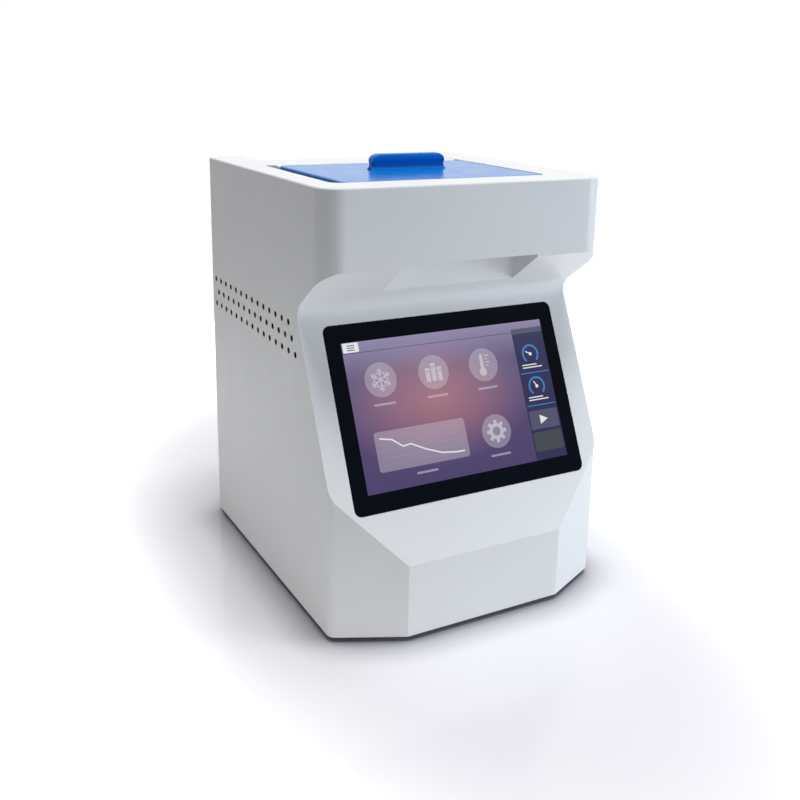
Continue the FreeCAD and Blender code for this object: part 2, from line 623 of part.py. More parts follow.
def lid_seal():
    """Soft ring under the lid that meets the liner's flange."""
    body = new_body("lid_seal")
    inner_side = "liner_side + seal_inset"
    inner_half = "liner_half + seal_inset"
    pad(body, "XY", "ledge_z + liner_wall + seal_gap", "lid_base",
        centred(f"{inner_side} + seal_width", f"{inner_half} + seal_width", "0", "axis_y"),
        centred(inner_side, inner_half, "0", "axis_y"))
    round_edges(body, "liner_radius / 2", upright)
    return body


# Lid hinges
def hinge_rows():
    return [f"{side}hinge_spacing / 2" for side in ("-", "")]


def hinge_brackets():
    """Fixed halves: a foot on the ledge with two knuckles each."""
    body = new_body("hinge_brackets")
    side_knuckle = "(hinge_width - leaf_width) / 2 - knuckle_gap"
    for middle in hinge_rows():
        pad(body, "XY", "ledge_z", "ledge_z + leaf_thickness",
            rectangle(f"{middle} - hinge_width / 2", f"{middle} + hinge_width / 2",
                      "hinge_y - knuckle_radius", "well_rear"))
        for start in (f"{middle} - hinge_width / 2", f"{middle} + leaf_width / 2 + knuckle_gap"):
            pad(body, "YZ", start, f"{start} + {side_knuckle}",
                rectangle("hinge_y - knuckle_radius * 0.7", "hinge_y + knuckle_radius * 0.7",
                          "ledge_z + leaf_thickness", "hinge_z"))
            pad(body, "YZ", start, f"{start} + {side_knuckle}", ("hinge_y", "hinge_z", "knuckle_radius"))
        pocket(body, "YZ", f"{middle} - hinge_width", f"{middle} + hinge_width",
               ("hinge_y", "hinge_z", "hinge_pin_radius + hinge_clearance / 2"))
    return body


def hinge_leaves():
    """Moving halves: a leaf on the lid's back wall with the middle knuckle."""
    body = new_body("hinge_leaves")
    for middle in hinge_rows():
        left = f"{middle} - leaf_width / 2"
        right = f"{middle} + leaf_width / 2"
        pad(body, "YZ", left, right,
            rectangle("lid_rear", "lid_rear + leaf_thickness", "lid_base", "lid_base + leaf_height"))
        pad(body, "YZ", left, right,
            rectangle("lid_rear + leaf_thickness / 2", "hinge_y", "hinge_z - leaf_thickness",
                      "hinge_z + leaf_thickness / 2"))
        pad(body, "YZ", left, right, ("hinge_y", "hinge_z", "knuckle_radius"))
        pocket(body, "YZ", f"{middle} - hinge_width", f"{middle} + hinge_width",
               ("hinge_y", "hinge_z", "hinge_pin_radius + hinge_clearance"))
    return body


def hinge_pins():
    body = new_body("hinge_pins")
    for middle in hinge_rows():
        pad(body, "YZ", f"{middle} - hinge_width / 2", f"{middle} + hinge_width / 2",
            ("hinge_y", "hinge_z", "hinge_pin_radius"))
    return body


# Sample chamber
def chamber_liner():
    """Thin tray with rounded corners, hung by its flange, with a hole in the floor for the link."""
    outside = new_body("liner_outside")
    flange = centred("liner_side + liner_flange", "liner_half + liner_flange", "0", "axis_y")
    pad(outside, "XY", "ledge_z", "ledge_z + liner_wall", flange)
    round_edges(outside, "liner_radius", upright)
    pad(outside, "XY", "liner_z", "ledge_z", centred("liner_side", "liner_half", "0", "axis_y"))
    level = number("ledge_z")
    round_edges(outside, "liner_radius", lambda a, b: upright(a, b) and min(a.z, b.z) < level - 1)
    pocket(outside, "XY", "liner_z - 1", "liner_z + 2 * liner_wall",
           ("0", "axis_y", "link_radius + liner_gap"))
    inside = new_body("liner_inside")
    pad(inside, "XY", "chamber_floor", "ledge_z + liner_wall + 1",
        centred("chamber_width / 2", "chamber_length / 2", "0", "axis_y"))
    round_edges(inside, "liner_radius - liner_wall", upright)
    return cut("chamber_liner", outside, inside)


def chamber_insulation():
    body = new_body("chamber_insulation")
    pad(body, "XY", "block_z", "ledge_z - ledge_thickness",
        centred("block_side", "block_half", "0", "axis_y"))
    pocket(body, "XY", "liner_z - liner_gap", "ledge_z + 1",
           centred("liner_side + liner_gap", "liner_half + liner_gap", "0", "axis_y"))
    pocket(body, "XY", "block_z - 1", "liner_z + 1", ("0", "axis_y", "link_radius + liner_gap"))
    return body


def cold_plate():
    body = new_body("cold_plate")
    pad(body, "XY", "chamber_floor", "chamber_floor + cold_plate_thickness",
        centred("chamber_width / 2 - plate_gap", "chamber_length / 2 - plate_gap", "0", "axis_y"))
    round_edges(body, "liner_radius - liner_wall", upright)
    return body


def sample_plate():
    """Removable plate with a shallow bay for bags and two holes to lift it by."""
    body = new_body("sample_plate")
    low = "chamber_floor + cold_plate_thickness"
    high = f"{low} + sample_plate_thickness"
    side = "chamber_width / 2 - 2 * plate_gap"
    half = "chamber_length / 2 - 2 * plate_gap"
    pad(body, "XY", low, high, centred(side, half, "0", "axis_y"))
    round_edges(body, "liner_radius - liner_wall", upright)
    pocket(body, "XY", f"{high} - sample_pocket", f"{high} + 1",
           centred(f"{side} - 2 * sample_rim", f"{half} - sample_rim", "0", "axis_y"))
    lift = f"({side} - sample_rim)"
    pocket(body, "XY", low, f"{high} + 1", (lift, "axis_y", "lift_hole_radius"),
           (f"-{lift}", "axis_y", "lift_hole_radius"))
    return body


# Cryocooler, on the chamber's axis
def cooler_link():
    """Copper block between the cold finger and the cold plate."""
    body = new_body("cold_link")
    neck = "finger_radius + link_neck"
    turned(body, [("0", "0"), (neck, "0"), ("link_radius", "link_thickness / 2"),
                  ("link_radius", "link_thickness + liner_wall"), ("0", "link_thickness + liner_wall")])
    return place(body, "0", "axis_y", "link_z")


def cooler_finger():
    body = new_body("cold_finger")
    length = "link_z - collar_z - collar_height"
    flange = "finger_radius + finger_flange_width"
    turned(body, [
        ("0", "0"), (flange, "0"), (flange, "finger_flange_thickness"),
        ("finger_radius", "finger_flange_thickness + finger_bevel"), ("finger_radius", length), ("0", length),
    ])
    return place(body, "0", "axis_y", "collar_z + collar_height")


def cooler_body():
    """Sealed piston housing with a domed foot, a mounting flange and the warm collar."""
    body = new_body("cooler_body")
    turned(body, [
        ("0", "-cooler_height - cooler_dome"),
        ("cooler_radius * 0.55", "-cooler_height - cooler_dome * 0.86"),
        ("cooler_radius * 0.87", "-cooler_height - cooler_dome * 0.5"), ("cooler_radius", "-cooler_height"),
        ("cooler_radius", "0"), ("cooler_flange_radius", "0"),
        ("cooler_flange_radius", "cooler_flange_thickness"), ("collar_radius", "cooler_flange_thickness"),
        ("collar_radius", "cooler_flange_thickness + collar_height"),
        ("0", "cooler_flange_thickness + collar_height"),
    ])
    return place(body, "0", "axis_y", "cooler_z")


def cooler_fins():
    """Ring fins on a sleeve round the warm collar."""
    body = new_body("heat_sink_fins")
    height = "fin_pitch * (fin_count - 1) + fin_thickness"
    pad(body, "XY", "0", height, ("0", "0", "collar_radius + sleeve_wall"), ("0", "0", "collar_radius"))
    fin = pad(body, "XY", "0", "fin_thickness", ("0", "0", "fin_radius"),
              ("0", "0", "collar_radius + sleeve_wall / 2"))
    pattern(body, fin, ("Z", "fin_pitch * (fin_count - 1)", "fin_count"))
    return place(body, "0", "axis_y", "collar_z + fin_lift")


def cooler_mount_plate():
    body = new_body("cooler_mount_plate")
    pad(body, "XY", "0", "mount_plate_thickness", centred("mount_plate_width / 2", "mount_plate_length / 2"),
        ("0", "0", "cooler_radius + liner_gap"))
    round_edges(body, "mount_radius", upright)
    return place(body, "0", "axis_y", "mount_plate_z")


def vibration_mounts():
    """Four rubber buffers with a waist."""
    body = new_body("vibration_mounts")
    buffer = turned(body, [
        ("0", "0"), ("mount_radius", "0"), ("mount_waist", "mount_height / 2"),
        ("mount_radius", "mount_height"), ("0", "mount_height"),
    ])
    pattern(body, buffer, ("X", "mount_spacing", "2"), ("Y", "mount_depth_spacing", "2"))
    return place(body, "-mount_spacing / 2", "axis_y - mount_depth_spacing / 2", "mount_z")


def vibration_absorber():
    body = new_body("vibration_absorber")
    low = "-absorber_neck - absorber_height"
    turned(body, [
        ("0", low), ("absorber_radius", low), ("absorber_radius", "-absorber_neck"),
        ("screw_head_radius", "-absorber_neck"), ("screw_head_radius", "0"), ("0", "0"),
    ])
    return place(body, "0", "axis_y", "cooler_z - cooler_height - cooler_dome")


# Sheet-metal chassis
def chassis_frame():
    """One bent sheet: two uprights with feet and the table that carries the chamber."""
    body = new_body("chassis_frame")
    half = "chassis_width / 2"
    profile = mirrored([
        (f"{half} - sheet_thickness", "plate_top"), (f"{half} + chassis_foot", "plate_top"),
        (f"{half} + chassis_foot", "plate_top + sheet_thickness"), (half, "plate_top + sheet_thickness"),
        (half, "block_z"),
    ])
    under = mirrored([
        (f"{half} - sheet_thickness", "plate_top - 1"),
        (f"{half} - sheet_thickness", "block_z - sheet_thickness"),
    ])
    pad(body, "XZ", "axis_y - chassis_length / 2", "axis_y + chassis_length / 2", profile)
    pocket(body, "XZ", "axis_y - chassis_length / 2 - 1", "axis_y + chassis_length / 2 + 1", under)
    pocket(body, "XY", "block_z - sheet_thickness - 1", "block_z + 1",
           ("0", "axis_y", "link_radius + link_room"))
    for level in ("plate_top", "shelf_z"):
        pocket(body, "YZ", "-chassis_width", "chassis_width",
               centred("chassis_length / 2 - chassis_rail", "chassis_window / 2", "axis_y",
                       f"({level} + chassis_window_rise)"))
    return body


def cooler_shelf():
    """Shelf between the uprights with turned-down sides."""
    body = new_body("cooler_shelf")
    half = "chassis_width / 2 - sheet_thickness"
    outer = rectangle(f"-({half})", half, "shelf_z - shelf_flange", "shelf_z + sheet_thickness")
    inner = rectangle(f"sheet_thickness - ({half})", f"{half} - sheet_thickness",
                      "shelf_z - shelf_flange - 1", "shelf_z")
    pad(body, "XZ", "axis_y - chassis_length / 2", "axis_y + chassis_length / 2", outer)
    pocket(body, "XZ", "axis_y - chassis_length", "axis_y + chassis_length", inner)
    pocket(body, "XY", "shelf_z - 1", "mount_z + 1", ("0", "axis_y", "cooler_radius + shelf_bore_gap"))
    return body


# Touch screen
def on_glass(label, width, height, low, high, radius=None, *holes):
    """Plate in the slanted face, centred on the glass."""
    body = new_body(label)
    pad(body, "XY", low, high, centred(f"{width} / 2", f"{height} / 2", "0", "-glass_middle"), *holes)
    if radius:
        round_edges(body, radius, upright)
    return place_on_slant(body)


def touch_glass():
    return on_glass("touch_glass", "glass_width", "glass_height", "-glass_thickness", "0",
                    "glass_radius - glass_gap")


def display_panel():
    return on_glass("display_panel", "(window_width - 2 * panel_margin)",
                    "(window_height - 2 * panel_margin)", "-bracket_z", "-glass_thickness")


def display_bracket():
    """Sheet frame that clamps the panel from behind, on four posts."""
    body = new_body("display_bracket")
    pad(body, "XY", "-bracket_z - bracket_sheet", "-bracket_z",
        centred("bracket_width / 2", "bracket_height / 2", "0", "-glass_middle"),
        centred("bracket_window_width / 2", "bracket_window_height / 2", "0", "-glass_middle"))
    posts = [(f"{side}bracket_post_across / 2", f"-glass_middle + {end} * bracket_post_along / 2",
              "bracket_post_radius") for side in ("-", "") for end in (-1, 1)]
    pad(body, "XY", "-bracket_z", "-display_wall", *posts)
    return place_on_slant(body)


def controller_board():
    """Board on spacers behind the bracket, with its larger components."""
    body = new_body("controller_board")
    face = "-bracket_z - bracket_sheet - spacer_height"
    pad(body, "XY", f"{face} - board_thickness", face,
        centred("board_width / 2", "board_height / 2", "0", "-glass_middle"))
    inset = "board_width / 2 - board_hole_inset"
    end = "board_height / 2 - board_hole_inset"
    spacers = [(f"{side}({inset})", f"-glass_middle + {way} * ({end})", "spacer_radius")
               for side in ("-", "") for way in (-1, 1)]
    pad(body, "XY", face, f"{face} + spacer_height", *spacers)
    back = f"{face} - board_thickness"
    for x, y, half_width, half_height, tall in CONTROLLER_PARTS:
        pad(body, "XY", f"{back} - {tall} * component_height", back,
            centred(f"{half_width} * board_width", f"{half_height} * board_height",
                    f"({x} * board_width)", f"({y} * board_height - glass_middle)"))
    return place_on_slant(body)


# Electrics on the chassis sides
def power_supply():
    """Closed supply against the right upright, with a row of upright slots."""
    body = new_body("power_supply")
    left = "chassis_width / 2"
    right = f"{left} + supply_depth"
    low = "plate_top + supply_lift"
    high = f"{low} + supply_height"
    front = "axis_y - supply_length / 2"
    pad(body, "XY", low, high, rectangle(left, right, front, f"{front} + supply_length"))
    first = f"{front} + supply_slot_inset"
    slot = pocket(body, "YZ", f"{right} - supply_slot_depth", f"{right} + 1",
                  rectangle(first, f"{first} + supply_slot_width",
                            f"{low} + supply_slot_inset", f"{high} - supply_slot_inset"))
    pattern(body, slot, ("Y", "supply_length - 2 * supply_slot_inset - supply_slot_width", "supply_slots"))
    return body


def driver_board():
    """Cooler drive board on spacers against the left upright."""
    body = new_body("driver_board")
    face = "-chassis_width / 2"
    board = f"{face} - spacer_height"
    low = "plate_top + driver_lift"
    high = f"{low} + driver_height"
    front = "axis_y - driver_length / 2"
    back = "axis_y + driver_length / 2"
    pad(body, "YZ", f"{board} - board_thickness", board, rectangle(front, back, low, high))
    for y in (f"{front} + board_hole_inset", f"{back} - board_hole_inset"):
        for z in (f"{low} + board_hole_inset", f"{high} - board_hole_inset"):
            pad(body, "YZ", board, face, (y, z, "spacer_radius"))
    outer = f"{board} - board_thickness"
    for y, z, half_width, half_height, tall in DRIVER_PARTS:
        pad(body, "YZ", f"{outer} - {tall} * component_height", outer,
            centred(f"{half_width} * driver_length", f"{half_height} * driver_height",
                    f"(axis_y + {y} * driver_length)", f"({low} + {z} * driver_height)"))
    return body


# Back panel with the fan, inlet, switch and ports
def rear_panel():
    body = new_body("rear_panel")
    side = "side - casing_wall - panel_gap"
    pad(body, "XZ", "panel_inner", "panel_face",
        rectangle(f"-({side})", side, "floor_z + casing_wall + panel_gap",
                  "top - casing_wall - trough_depth - panel_gap"))
    pocket(body, "XZ", "panel_inner - 1", "panel_face + 1",
           ("0", "fan_z", "fan_bore"),
           centred("inlet_body_width / 2 + cutout_gap", "inlet_body_tall / 2 + cutout_gap",
                   "inlet_across", "(inlet_z)"),
           centred("switch_body_width / 2 + cutout_gap", "switch_body_tall / 2 + cutout_gap",
                   "inlet_across", "(switch_z)"),
           rectangle("-port_across - network_width / 2 - cutout_gap",
                     "-port_across + network_width / 2 + cutout_gap",
                     "port_z - cutout_gap", "port_z + network_tall + cutout_gap"),
           rectangle("-port_across + port_spacing - usb_width / 2 - cutout_gap",
                     "-port_across + port_spacing + usb_width / 2 + cutout_gap",
                     "port_z - cutout_gap", "port_z + usb_tall + cutout_gap"))
    return body


def rear_panel_screws():
    body = new_body("rear_panel_screws")
    head = pad(body, "XZ", "0", "screw_head_height", ("0", "0", "screw_head_radius"))
    across = "2 * (side - casing_wall - rear_lip_width / 2)"
    up = "casing_height - casing_wall - trough_depth - rear_lip_width"
    pattern(body, head, ("X", across, "2"), ("Z", f"{up} - casing_wall", "panel_screw_rows"))
    return place(body, f"-({across}) / 2", "panel_face", "floor_z + casing_wall + rear_lip_width / 2")


def fan_frame():
    body = new_body("fan_frame")
    pad(body, "XZ", "panel_inner - fan_depth", "panel_inner",
        centred("fan_size / 2", "fan_size / 2", "0", "(fan_z)"), ("0", "fan_z", "fan_bore"))
    # Three struts and the plate that holds the motor, at the inner face
    low = "panel_inner - fan_depth"
    high = f"{low} + strut_thickness"
    half = "strut_width / 2"
    pad(body, "XZ", low, high, ("0", "fan_z", "fan_hub"))
    for strut in (rectangle(f"-{half}", half, "fan_z + fan_hub - 1", "fan_z + fan_bore + 1"),
                  rectangle(f"-{half}", half, "fan_z - fan_bore - 1", "fan_z - fan_hub + 1"),
                  rectangle("fan_hub - 1", "fan_bore + 1", f"fan_z - {half}", f"fan_z + {half}")):
        pad(body, "XZ", low, high, strut)
    return body


def fan_rotor():
    """Hub with pitched blades."""
    body = new_body("fan_rotor")
    turned(body, [("0", "0"), ("fan_hub", "0"), ("fan_hub", "rotor_depth"), ("0", "rotor_depth")], "Y")
    half = "blade_chord / 2"
    thick = "blade_thickness / 2"
    lean = "cos(blade_pitch)"
    rise = "sin(blade_pitch)"
    middle = "rotor_depth / 2"
    outline = []
    for along, across in ((-1, -1), (1, -1), (1, 1), (-1, 1)):
        outline.append((
            f"{middle} + {along} * {half} * {rise} + {across} * {thick} * {lean}",
            f"{along} * {half} * {lean} - {across} * {thick} * {rise}",
        ))
    blade = pad(body, "YZ", "fan_hub - blade_root", "rotor_radius", outline)
    around(body, blade, "Y", "fan_blades")
    return place(body, "0", "panel_inner - fan_depth + strut_thickness + rotor_gap", "fan_z")


def fan_guard():
    """Wire guard: rings joined by two crossed bars that end in screw eyes."""
    body = new_body("fan_guard")
    low = "panel_face"
    for index in range(1, SIZES["guard_rings"] + 1):
        radius = f"fan_bore * {index} / guard_rings"
        pad(body, "XZ", low, f"{low} + guard_wire", ("0", "fan_z", radius),
            ("0", "fan_z", f"{radius} - guard_wire"))
    reach = "(fan_hole_spacing / 2)"
    half = "guard_wire / 2"
    for turn in ("", "-"):
        bar = [
            (f"{turn}({half} - {reach})", f"fan_z - {reach} - {half}"),
            (f"{turn}({reach} + {half})", f"fan_z + {reach} - {half}"),
            (f"{turn}({reach} - {half})", f"fan_z + {reach} + {half}"),
            (f"{turn}(-{reach} - {half})", f"fan_z - {reach} + {half}"),
        ]
        pad(body, "XZ", f"{low} + guard_wire / 2", f"{low} + guard_wire * 1.5", bar)
    for across in ("-", ""):
        for up in ("-", "+"):
            pad(body, "XZ", low, f"{low} + 2 * guard_wire",
                (f"{across}{reach}", f"fan_z {up} {reach}", "fan_screw_radius + guard_wire + guard_eye_gap"))
    return body


def fan_screws():
    body = new_body("fan_screws")
    head = pad(body, "XZ", "0", "fan_screw_head_height", ("0", "0", "fan_screw_head_radius"))
    pattern(body, head, ("X", "fan_hole_spacing", "2"), ("Z", "fan_hole_spacing", "2"))
    return place(body, "-fan_hole_spacing / 2", "panel_face + 2 * guard_wire", "fan_z - fan_hole_spacing / 2")


def air_duct():
    """Square duct that draws from between the uprights to the fan."""
    body = new_body("air_duct")
    half = "fan_size / 2"
    pad(body, "XZ", "axis_y + chassis_length / 2 + duct_gap", "panel_inner - fan_depth",
        centred(half, half, "0", "(fan_z)"),
        centred(f"{half} - duct_wall", f"{half} - duct_wall", "0", "(fan_z)"))
    return body


def power_inlet():
    """Mains inlet: flange, body, socket with three contacts, bay for the fuse drawer."""
    body = new_body("power_inlet")
    pad(body, "XZ", "-inlet_depth", "inlet_flange", centred("inlet_body_width / 2", "inlet_body_tall / 2"))
    pad(body, "XZ", "0", "inlet_flange", centred("inlet_width / 2", "inlet_tall / 2"))
    half = "socket_width / 2"
    low = "socket_rise - socket_tall / 2"
    high = "socket_rise + socket_tall / 2"
    bevel = "socket_bevel"
    socket = mirrored([(half, low), (half, f"{high} - {bevel}"), (f"{half} - {bevel}", high)])
    pocket(body, "XZ", "inlet_flange - socket_deep", "inlet_flange + 1", socket)
    outer = "socket_rise - contact_offset / 2"
    earth = "socket_rise + contact_offset / 2"
    for x, z in (("-contact_spacing / 2", outer), ("contact_spacing / 2", outer), ("0", earth)):
        pad(body, "XZ", "inlet_flange - socket_deep", "-1",
            centred("contact_width / 2", "contact_tall / 2", x, f"({z})"))
    pocket(body, "XZ", "inlet_flange - drawer_deep - drawer_gap", "inlet_flange + 1",
           centred("drawer_width / 2 + drawer_gap", "drawer_tall / 2 + drawer_gap", "0", "(-drawer_drop)"))
    return place(body, "inlet_across", "panel_face", "inlet_z")


def fuse_drawer():
    body = new_body("fuse_drawer")
    pad(body, "XZ", "-drawer_deep", "0", centred("drawer_width / 2", "drawer_tall / 2"))
    pocket(body, "XZ", "-1", "1", rectangle("-drawer_width / 4", "drawer_width / 4",
                                            "drawer_tall / 2 - drawer_notch", "drawer_tall / 2 + 1"))
    pocket(body, "XY", "-drawer_tall / 2 + drawer_floor", "drawer_tall / 2 + 1",
           rectangle("-drawer_width / 2 + drawer_wall", "drawer_width / 2 - drawer_wall",
                     "-drawer_deep + drawer_wall", "-drawer_front"))
    return place(body, "inlet_across", "panel_face + inlet_flange", "inlet_z - drawer_drop")


def switch_frame():
    body = new_body("switch_frame")
    pad(body, "XZ", "-switch_depth", "0", centred("switch_body_width / 2", "switch_body_tall / 2"))
    pad(body, "XZ", "0", "switch_flange", centred("switch_width / 2", "switch_tall / 2"))
    pocket(body, "XZ", "-switch_depth + switch_floor", "switch_flange + 1",
           centred("rocker_width / 2 + rocker_gap", "rocker_tall / 2 + 2 * rocker_gap"))
    return place(body, "inlet_across", "panel_face", "switch_z")


def switch_rocker():
    """Rocker, tilted to off: a face with two slopes over a rounded keel, on short pivot pins."""
    body = new_body("switch_rocker")
    half = "rocker_tall / 2"
    profile = [
        ("rocker_reach - rocker_dip", "0"), ("rocker_reach", half), ("-rocker_shoulder", half),
        ("-rocker_depth", "rocker_keel"), ("-rocker_depth", "-rocker_keel"),
        ("-rocker_shoulder", f"-({half})"), ("rocker_reach", f"-({half})"),
    ]
    pad(body, "YZ", "-rocker_width / 2", "rocker_width / 2", profile)
    return place(body, "inlet_across", "panel_face + switch_flange - rocker_reach", "switch_z", "rocker_tilt")


def network_port():
    body = new_body("network_port")
    outer = rectangle("-network_width / 2", "network_width / 2", "0", "network_tall")
    pad(body, "XZ", "-network_deep", "0", outer)
    inner = "network_width / 2 - network_side_wall"
    step = "network_wall + network_key_tall"
    cavity = mirrored([
        ("network_key_width / 2", "network_wall"), ("network_key_width / 2", step), (inner, step),
        (inner, "network_tall - network_wall"),
    ])
    pocket(body, "XZ", "-network_bay_deep", "1", cavity)
    return place(body, "-port_across", "panel_face", "port_z")


def usb_port():
    body = new_body("usb_port")
    half = "usb_width / 2"
    pad(body, "XZ", "-usb_deep", "0", rectangle(f"-{half}", half, "0", "usb_tall"))
    pocket(body, "XZ", "-usb_deep + usb_floor", "1",
           rectangle(f"usb_wall - {half}", f"{half} - usb_wall", "usb_wall", "usb_tall - usb_wall"))
    pad(body, "XZ", "-usb_deep + 1", "-1",
        rectangle("-usb_width / 2 + usb_tongue_inset", "usb_width / 2 - usb_tongue_inset",
                  "usb_tall / 2", "usb_tall / 2 + usb_tongue"))
    return place(body, "-port_across + port_spacing", "panel_face", "port_z")


def io_board():
    """Small board under the ports, on four posts from the base plate."""
    body = new_body("port_board")
    left = "-port_across - network_width"
    right = f"{left} + io_board_width"
    front = "panel_inner - io_board_length - io_board_gap"
    back = "panel_inner - io_board_gap"
    pad(body, "XY", "port_z - board_thickness", "port_z", rectangle(left, right, front, back))
    for x in (f"{left} + board_hole_inset", f"{right} - board_hole_inset"):
        for y in (f"{front} + board_hole_inset", f"{back} - io_post_inset"):
            pad(body, "XY", "plate_top", "port_z - board_thickness", (x, y, "spacer_radius"))
    return body


# Base
def base_plate():
    """Sheet under the casing, with the casing's cut corners."""
    body = new_body("base_plate")
    edge = "(casing_wall + base_gap)"
    slope = "sqrt(corner_cut_width * corner_cut_width + corner_cut_depth * corner_cut_depth)"
    pad(body, "XY", "floor_z", "plate_top",
        rectangle(f"{edge} - side", f"side - {edge}", f"front + {edge}", "lip_front - base_gap"))
    for side in (-1, 1):
        corner_cut(body, side, f"{edge} * {slope} / corner_cut_width")
    return body


def rubber_feet():
    """Four feet with a recess for the screw head."""
    body = new_body("rubber_feet")
    bore = "screw_radius + foot_bore_gap"
    foot = turned(body, [
        (bore, "foot_height"), (bore, "foot_recess"), ("foot_recess_radius", "foot_recess"),
        ("foot_recess_radius", "0"), ("foot_radius - foot_chamfer", "0"),
        ("foot_radius - foot_edge", "foot_edge"), ("foot_radius", "foot_height"),
    ])
    pattern(body, foot, ("X", "foot_spacing", "2"), ("Y", "foot_depth_spacing", "2"))
    return place(body, "-foot_spacing / 2", "front + foot_inset", "0")


def foot_screws():
    body = new_body("foot_screws")
    low = "foot_recess - screw_head_height"
    screw = turned(body, [
        ("0", low), ("screw_head_radius", low), ("screw_head_radius", "foot_recess"),
        ("screw_radius", "foot_recess"), ("screw_radius", "foot_height"), ("0", "foot_height"),
    ])
    pattern(body, screw, ("X", "foot_spacing", "2"), ("Y", "foot_depth_spacing", "2"))
    return place(body, "-foot_spacing / 2", "front + foot_inset", "0")


def base_screws():
    """Screws up through the base plate into the casing's posts."""
    body = new_body("base_screws")
    head = pad(body, "XY", "-screw_head_height", "0", ("0", "0", "screw_head_radius"))
    pattern(body, head, ("X", "2 * boss_across", "2"),
            ("Y", "casing_depth - boss_front_inset - boss_rear_inset", "2"))
    return place(body, "-boss_across", "front + boss_front_inset", "floor_z")


MAKERS = (
    housing_shell, base_plate, rubber_feet, foot_screws, base_screws,
    rear_panel, rear_panel_screws, fan_frame, fan_rotor, fan_guard, fan_screws, air_duct,
    power_inlet, fuse_drawer, switch_frame, switch_rocker, network_port, usb_port, io_board,
    touch_glass, display_panel, display_bracket, controller_board,
    chassis_frame, cooler_shelf, power_supply, driver_board,
    chamber_insulation, chamber_liner, cold_plate, sample_plate,
    cooler_link, cooler_finger, cooler_body, cooler_fins, cooler_mount_plate, vibration_mounts,
    vibration_absorber,
    lid_cover, lid_handle, lid_screws, lid_liner, lid_insulation, lid_seal,
    hinge_brackets, hinge_leaves, hinge_pins,
)
subparts = [maker() for maker in MAKERS]
document.recompute()

for thing in document.Objects:
    if "Invalid" in thing.State or "Error" in thing.State:
        raise ValueError(f"{thing.Label} failed: {thing.State}")
for subpart in subparts:
    shape = subpart.Shape
    if shape.isNull() or not shape.isValid() or not shape.Solids:
        raise ValueError(f"{subpart.Label} has no valid solid")

os.makedirs("parts", exist_ok=True)
for subpart in subparts:
    subpart.Shape.exportStep(f"parts/{subpart.Label}.step")
    box = subpart.Shape.BoundBox
    print(f"{subpart.Label}: {len(subpart.Shape.Solids)} solids, {subpart.Shape.Volume / 1000:.1f} cm3,",
          f"z {box.ZMin:.1f} to {box.ZMax:.1f}")
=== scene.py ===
import json
import math

import bmesh
import bpy
from mathutils import Matrix, Vector


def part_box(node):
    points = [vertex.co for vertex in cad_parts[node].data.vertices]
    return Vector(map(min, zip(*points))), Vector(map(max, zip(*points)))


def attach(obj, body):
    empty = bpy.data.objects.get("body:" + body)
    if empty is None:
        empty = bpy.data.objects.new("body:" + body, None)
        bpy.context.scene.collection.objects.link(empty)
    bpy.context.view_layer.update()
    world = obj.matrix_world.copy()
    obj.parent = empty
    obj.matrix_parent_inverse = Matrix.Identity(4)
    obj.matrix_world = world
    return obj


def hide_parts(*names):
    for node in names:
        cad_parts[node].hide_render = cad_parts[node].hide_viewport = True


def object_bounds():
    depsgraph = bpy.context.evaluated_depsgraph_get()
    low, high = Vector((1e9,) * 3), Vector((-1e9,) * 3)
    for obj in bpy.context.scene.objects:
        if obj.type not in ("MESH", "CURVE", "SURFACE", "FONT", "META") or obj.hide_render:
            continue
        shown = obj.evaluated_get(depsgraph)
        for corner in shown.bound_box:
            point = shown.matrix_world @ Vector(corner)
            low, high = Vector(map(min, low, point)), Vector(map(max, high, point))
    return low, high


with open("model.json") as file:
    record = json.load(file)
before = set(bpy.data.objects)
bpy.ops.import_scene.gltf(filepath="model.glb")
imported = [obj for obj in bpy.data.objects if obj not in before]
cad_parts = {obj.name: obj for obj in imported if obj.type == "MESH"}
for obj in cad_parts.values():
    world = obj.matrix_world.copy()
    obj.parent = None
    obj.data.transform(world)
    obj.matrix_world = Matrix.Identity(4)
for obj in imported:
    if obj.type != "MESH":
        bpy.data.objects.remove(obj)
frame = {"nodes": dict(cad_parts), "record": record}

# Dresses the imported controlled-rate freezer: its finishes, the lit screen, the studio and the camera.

MM = 0.001
CAD_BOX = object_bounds()

# Camera, at the photograph's angle: metres, degrees and millimetres
CAMERA_PLACE = (-0.4657, -0.8502, 0.4969)
CAMERA_ANGLES = (75.280, -1.228, -28.966)
CAMERA_LENS = 44.32
CAMERA_SHIFT = (-0.0157, -0.0915)
CAMERA_CLIP = (0.01, 100.0)

# How strongly the world lights the part, although it looks white
WORLD_LIGHT = 0.11

# Floor, in metres. It glows white further out, so that it runs into the background
FLOOR_SIZE = 2.0
FLOOR_ROUGHNESS = 0.14
FLOOR_NEAR_WHITE = 0.02
FLOOR_FAR_WHITE = 1.0
FLOOR_FADE = (0.34, 0.90)
FLOOR_ACROSS = 2.0

# Floor colours: as light bounces off it, as the camera sees it, and a painted contact shadow close to
# what stands on it
FLOOR_LIT = (0.94, 0.94, 0.95)
FLOOR_SHOWN = (0.850, 0.838, 0.875)
# Painted contact shadow: its colour, its place on the colour ramp, and the reach and rays of the
# occlusion that spreads it
FLOOR_PAINTED_SHADE = (0.05, 0.043, 0.10)
FLOOR_PAINTED_SHADE_PLACE = 0.6
FLOOR_PAINTED_SHADE_REACH = 0.04
FLOOR_PAINTED_SHADE_RAYS = 8

# Lamps: place, target, size, power, colour and spread in degrees
LAMPS = {
    "overhead": ((0.06, -0.18, 3.0), (0.0, 0.0, 0.2), (1.2, 1.2), 71.0, (1.0, 1.0, 1.0), 180.0),
    "right": ((1.8, -1.1, 0.4), (0.0, -0.1, 0.2), (1.0, 0.7), 23.0, (0.76, 0.88, 1.0), 180.0),
    "fill": ((-1.3, -1.1, 0.05), (-0.05, 0.0, -0.12), (0.6, 0.08), 0.14, (1.0, 0.97, 0.95), 24.0),
}

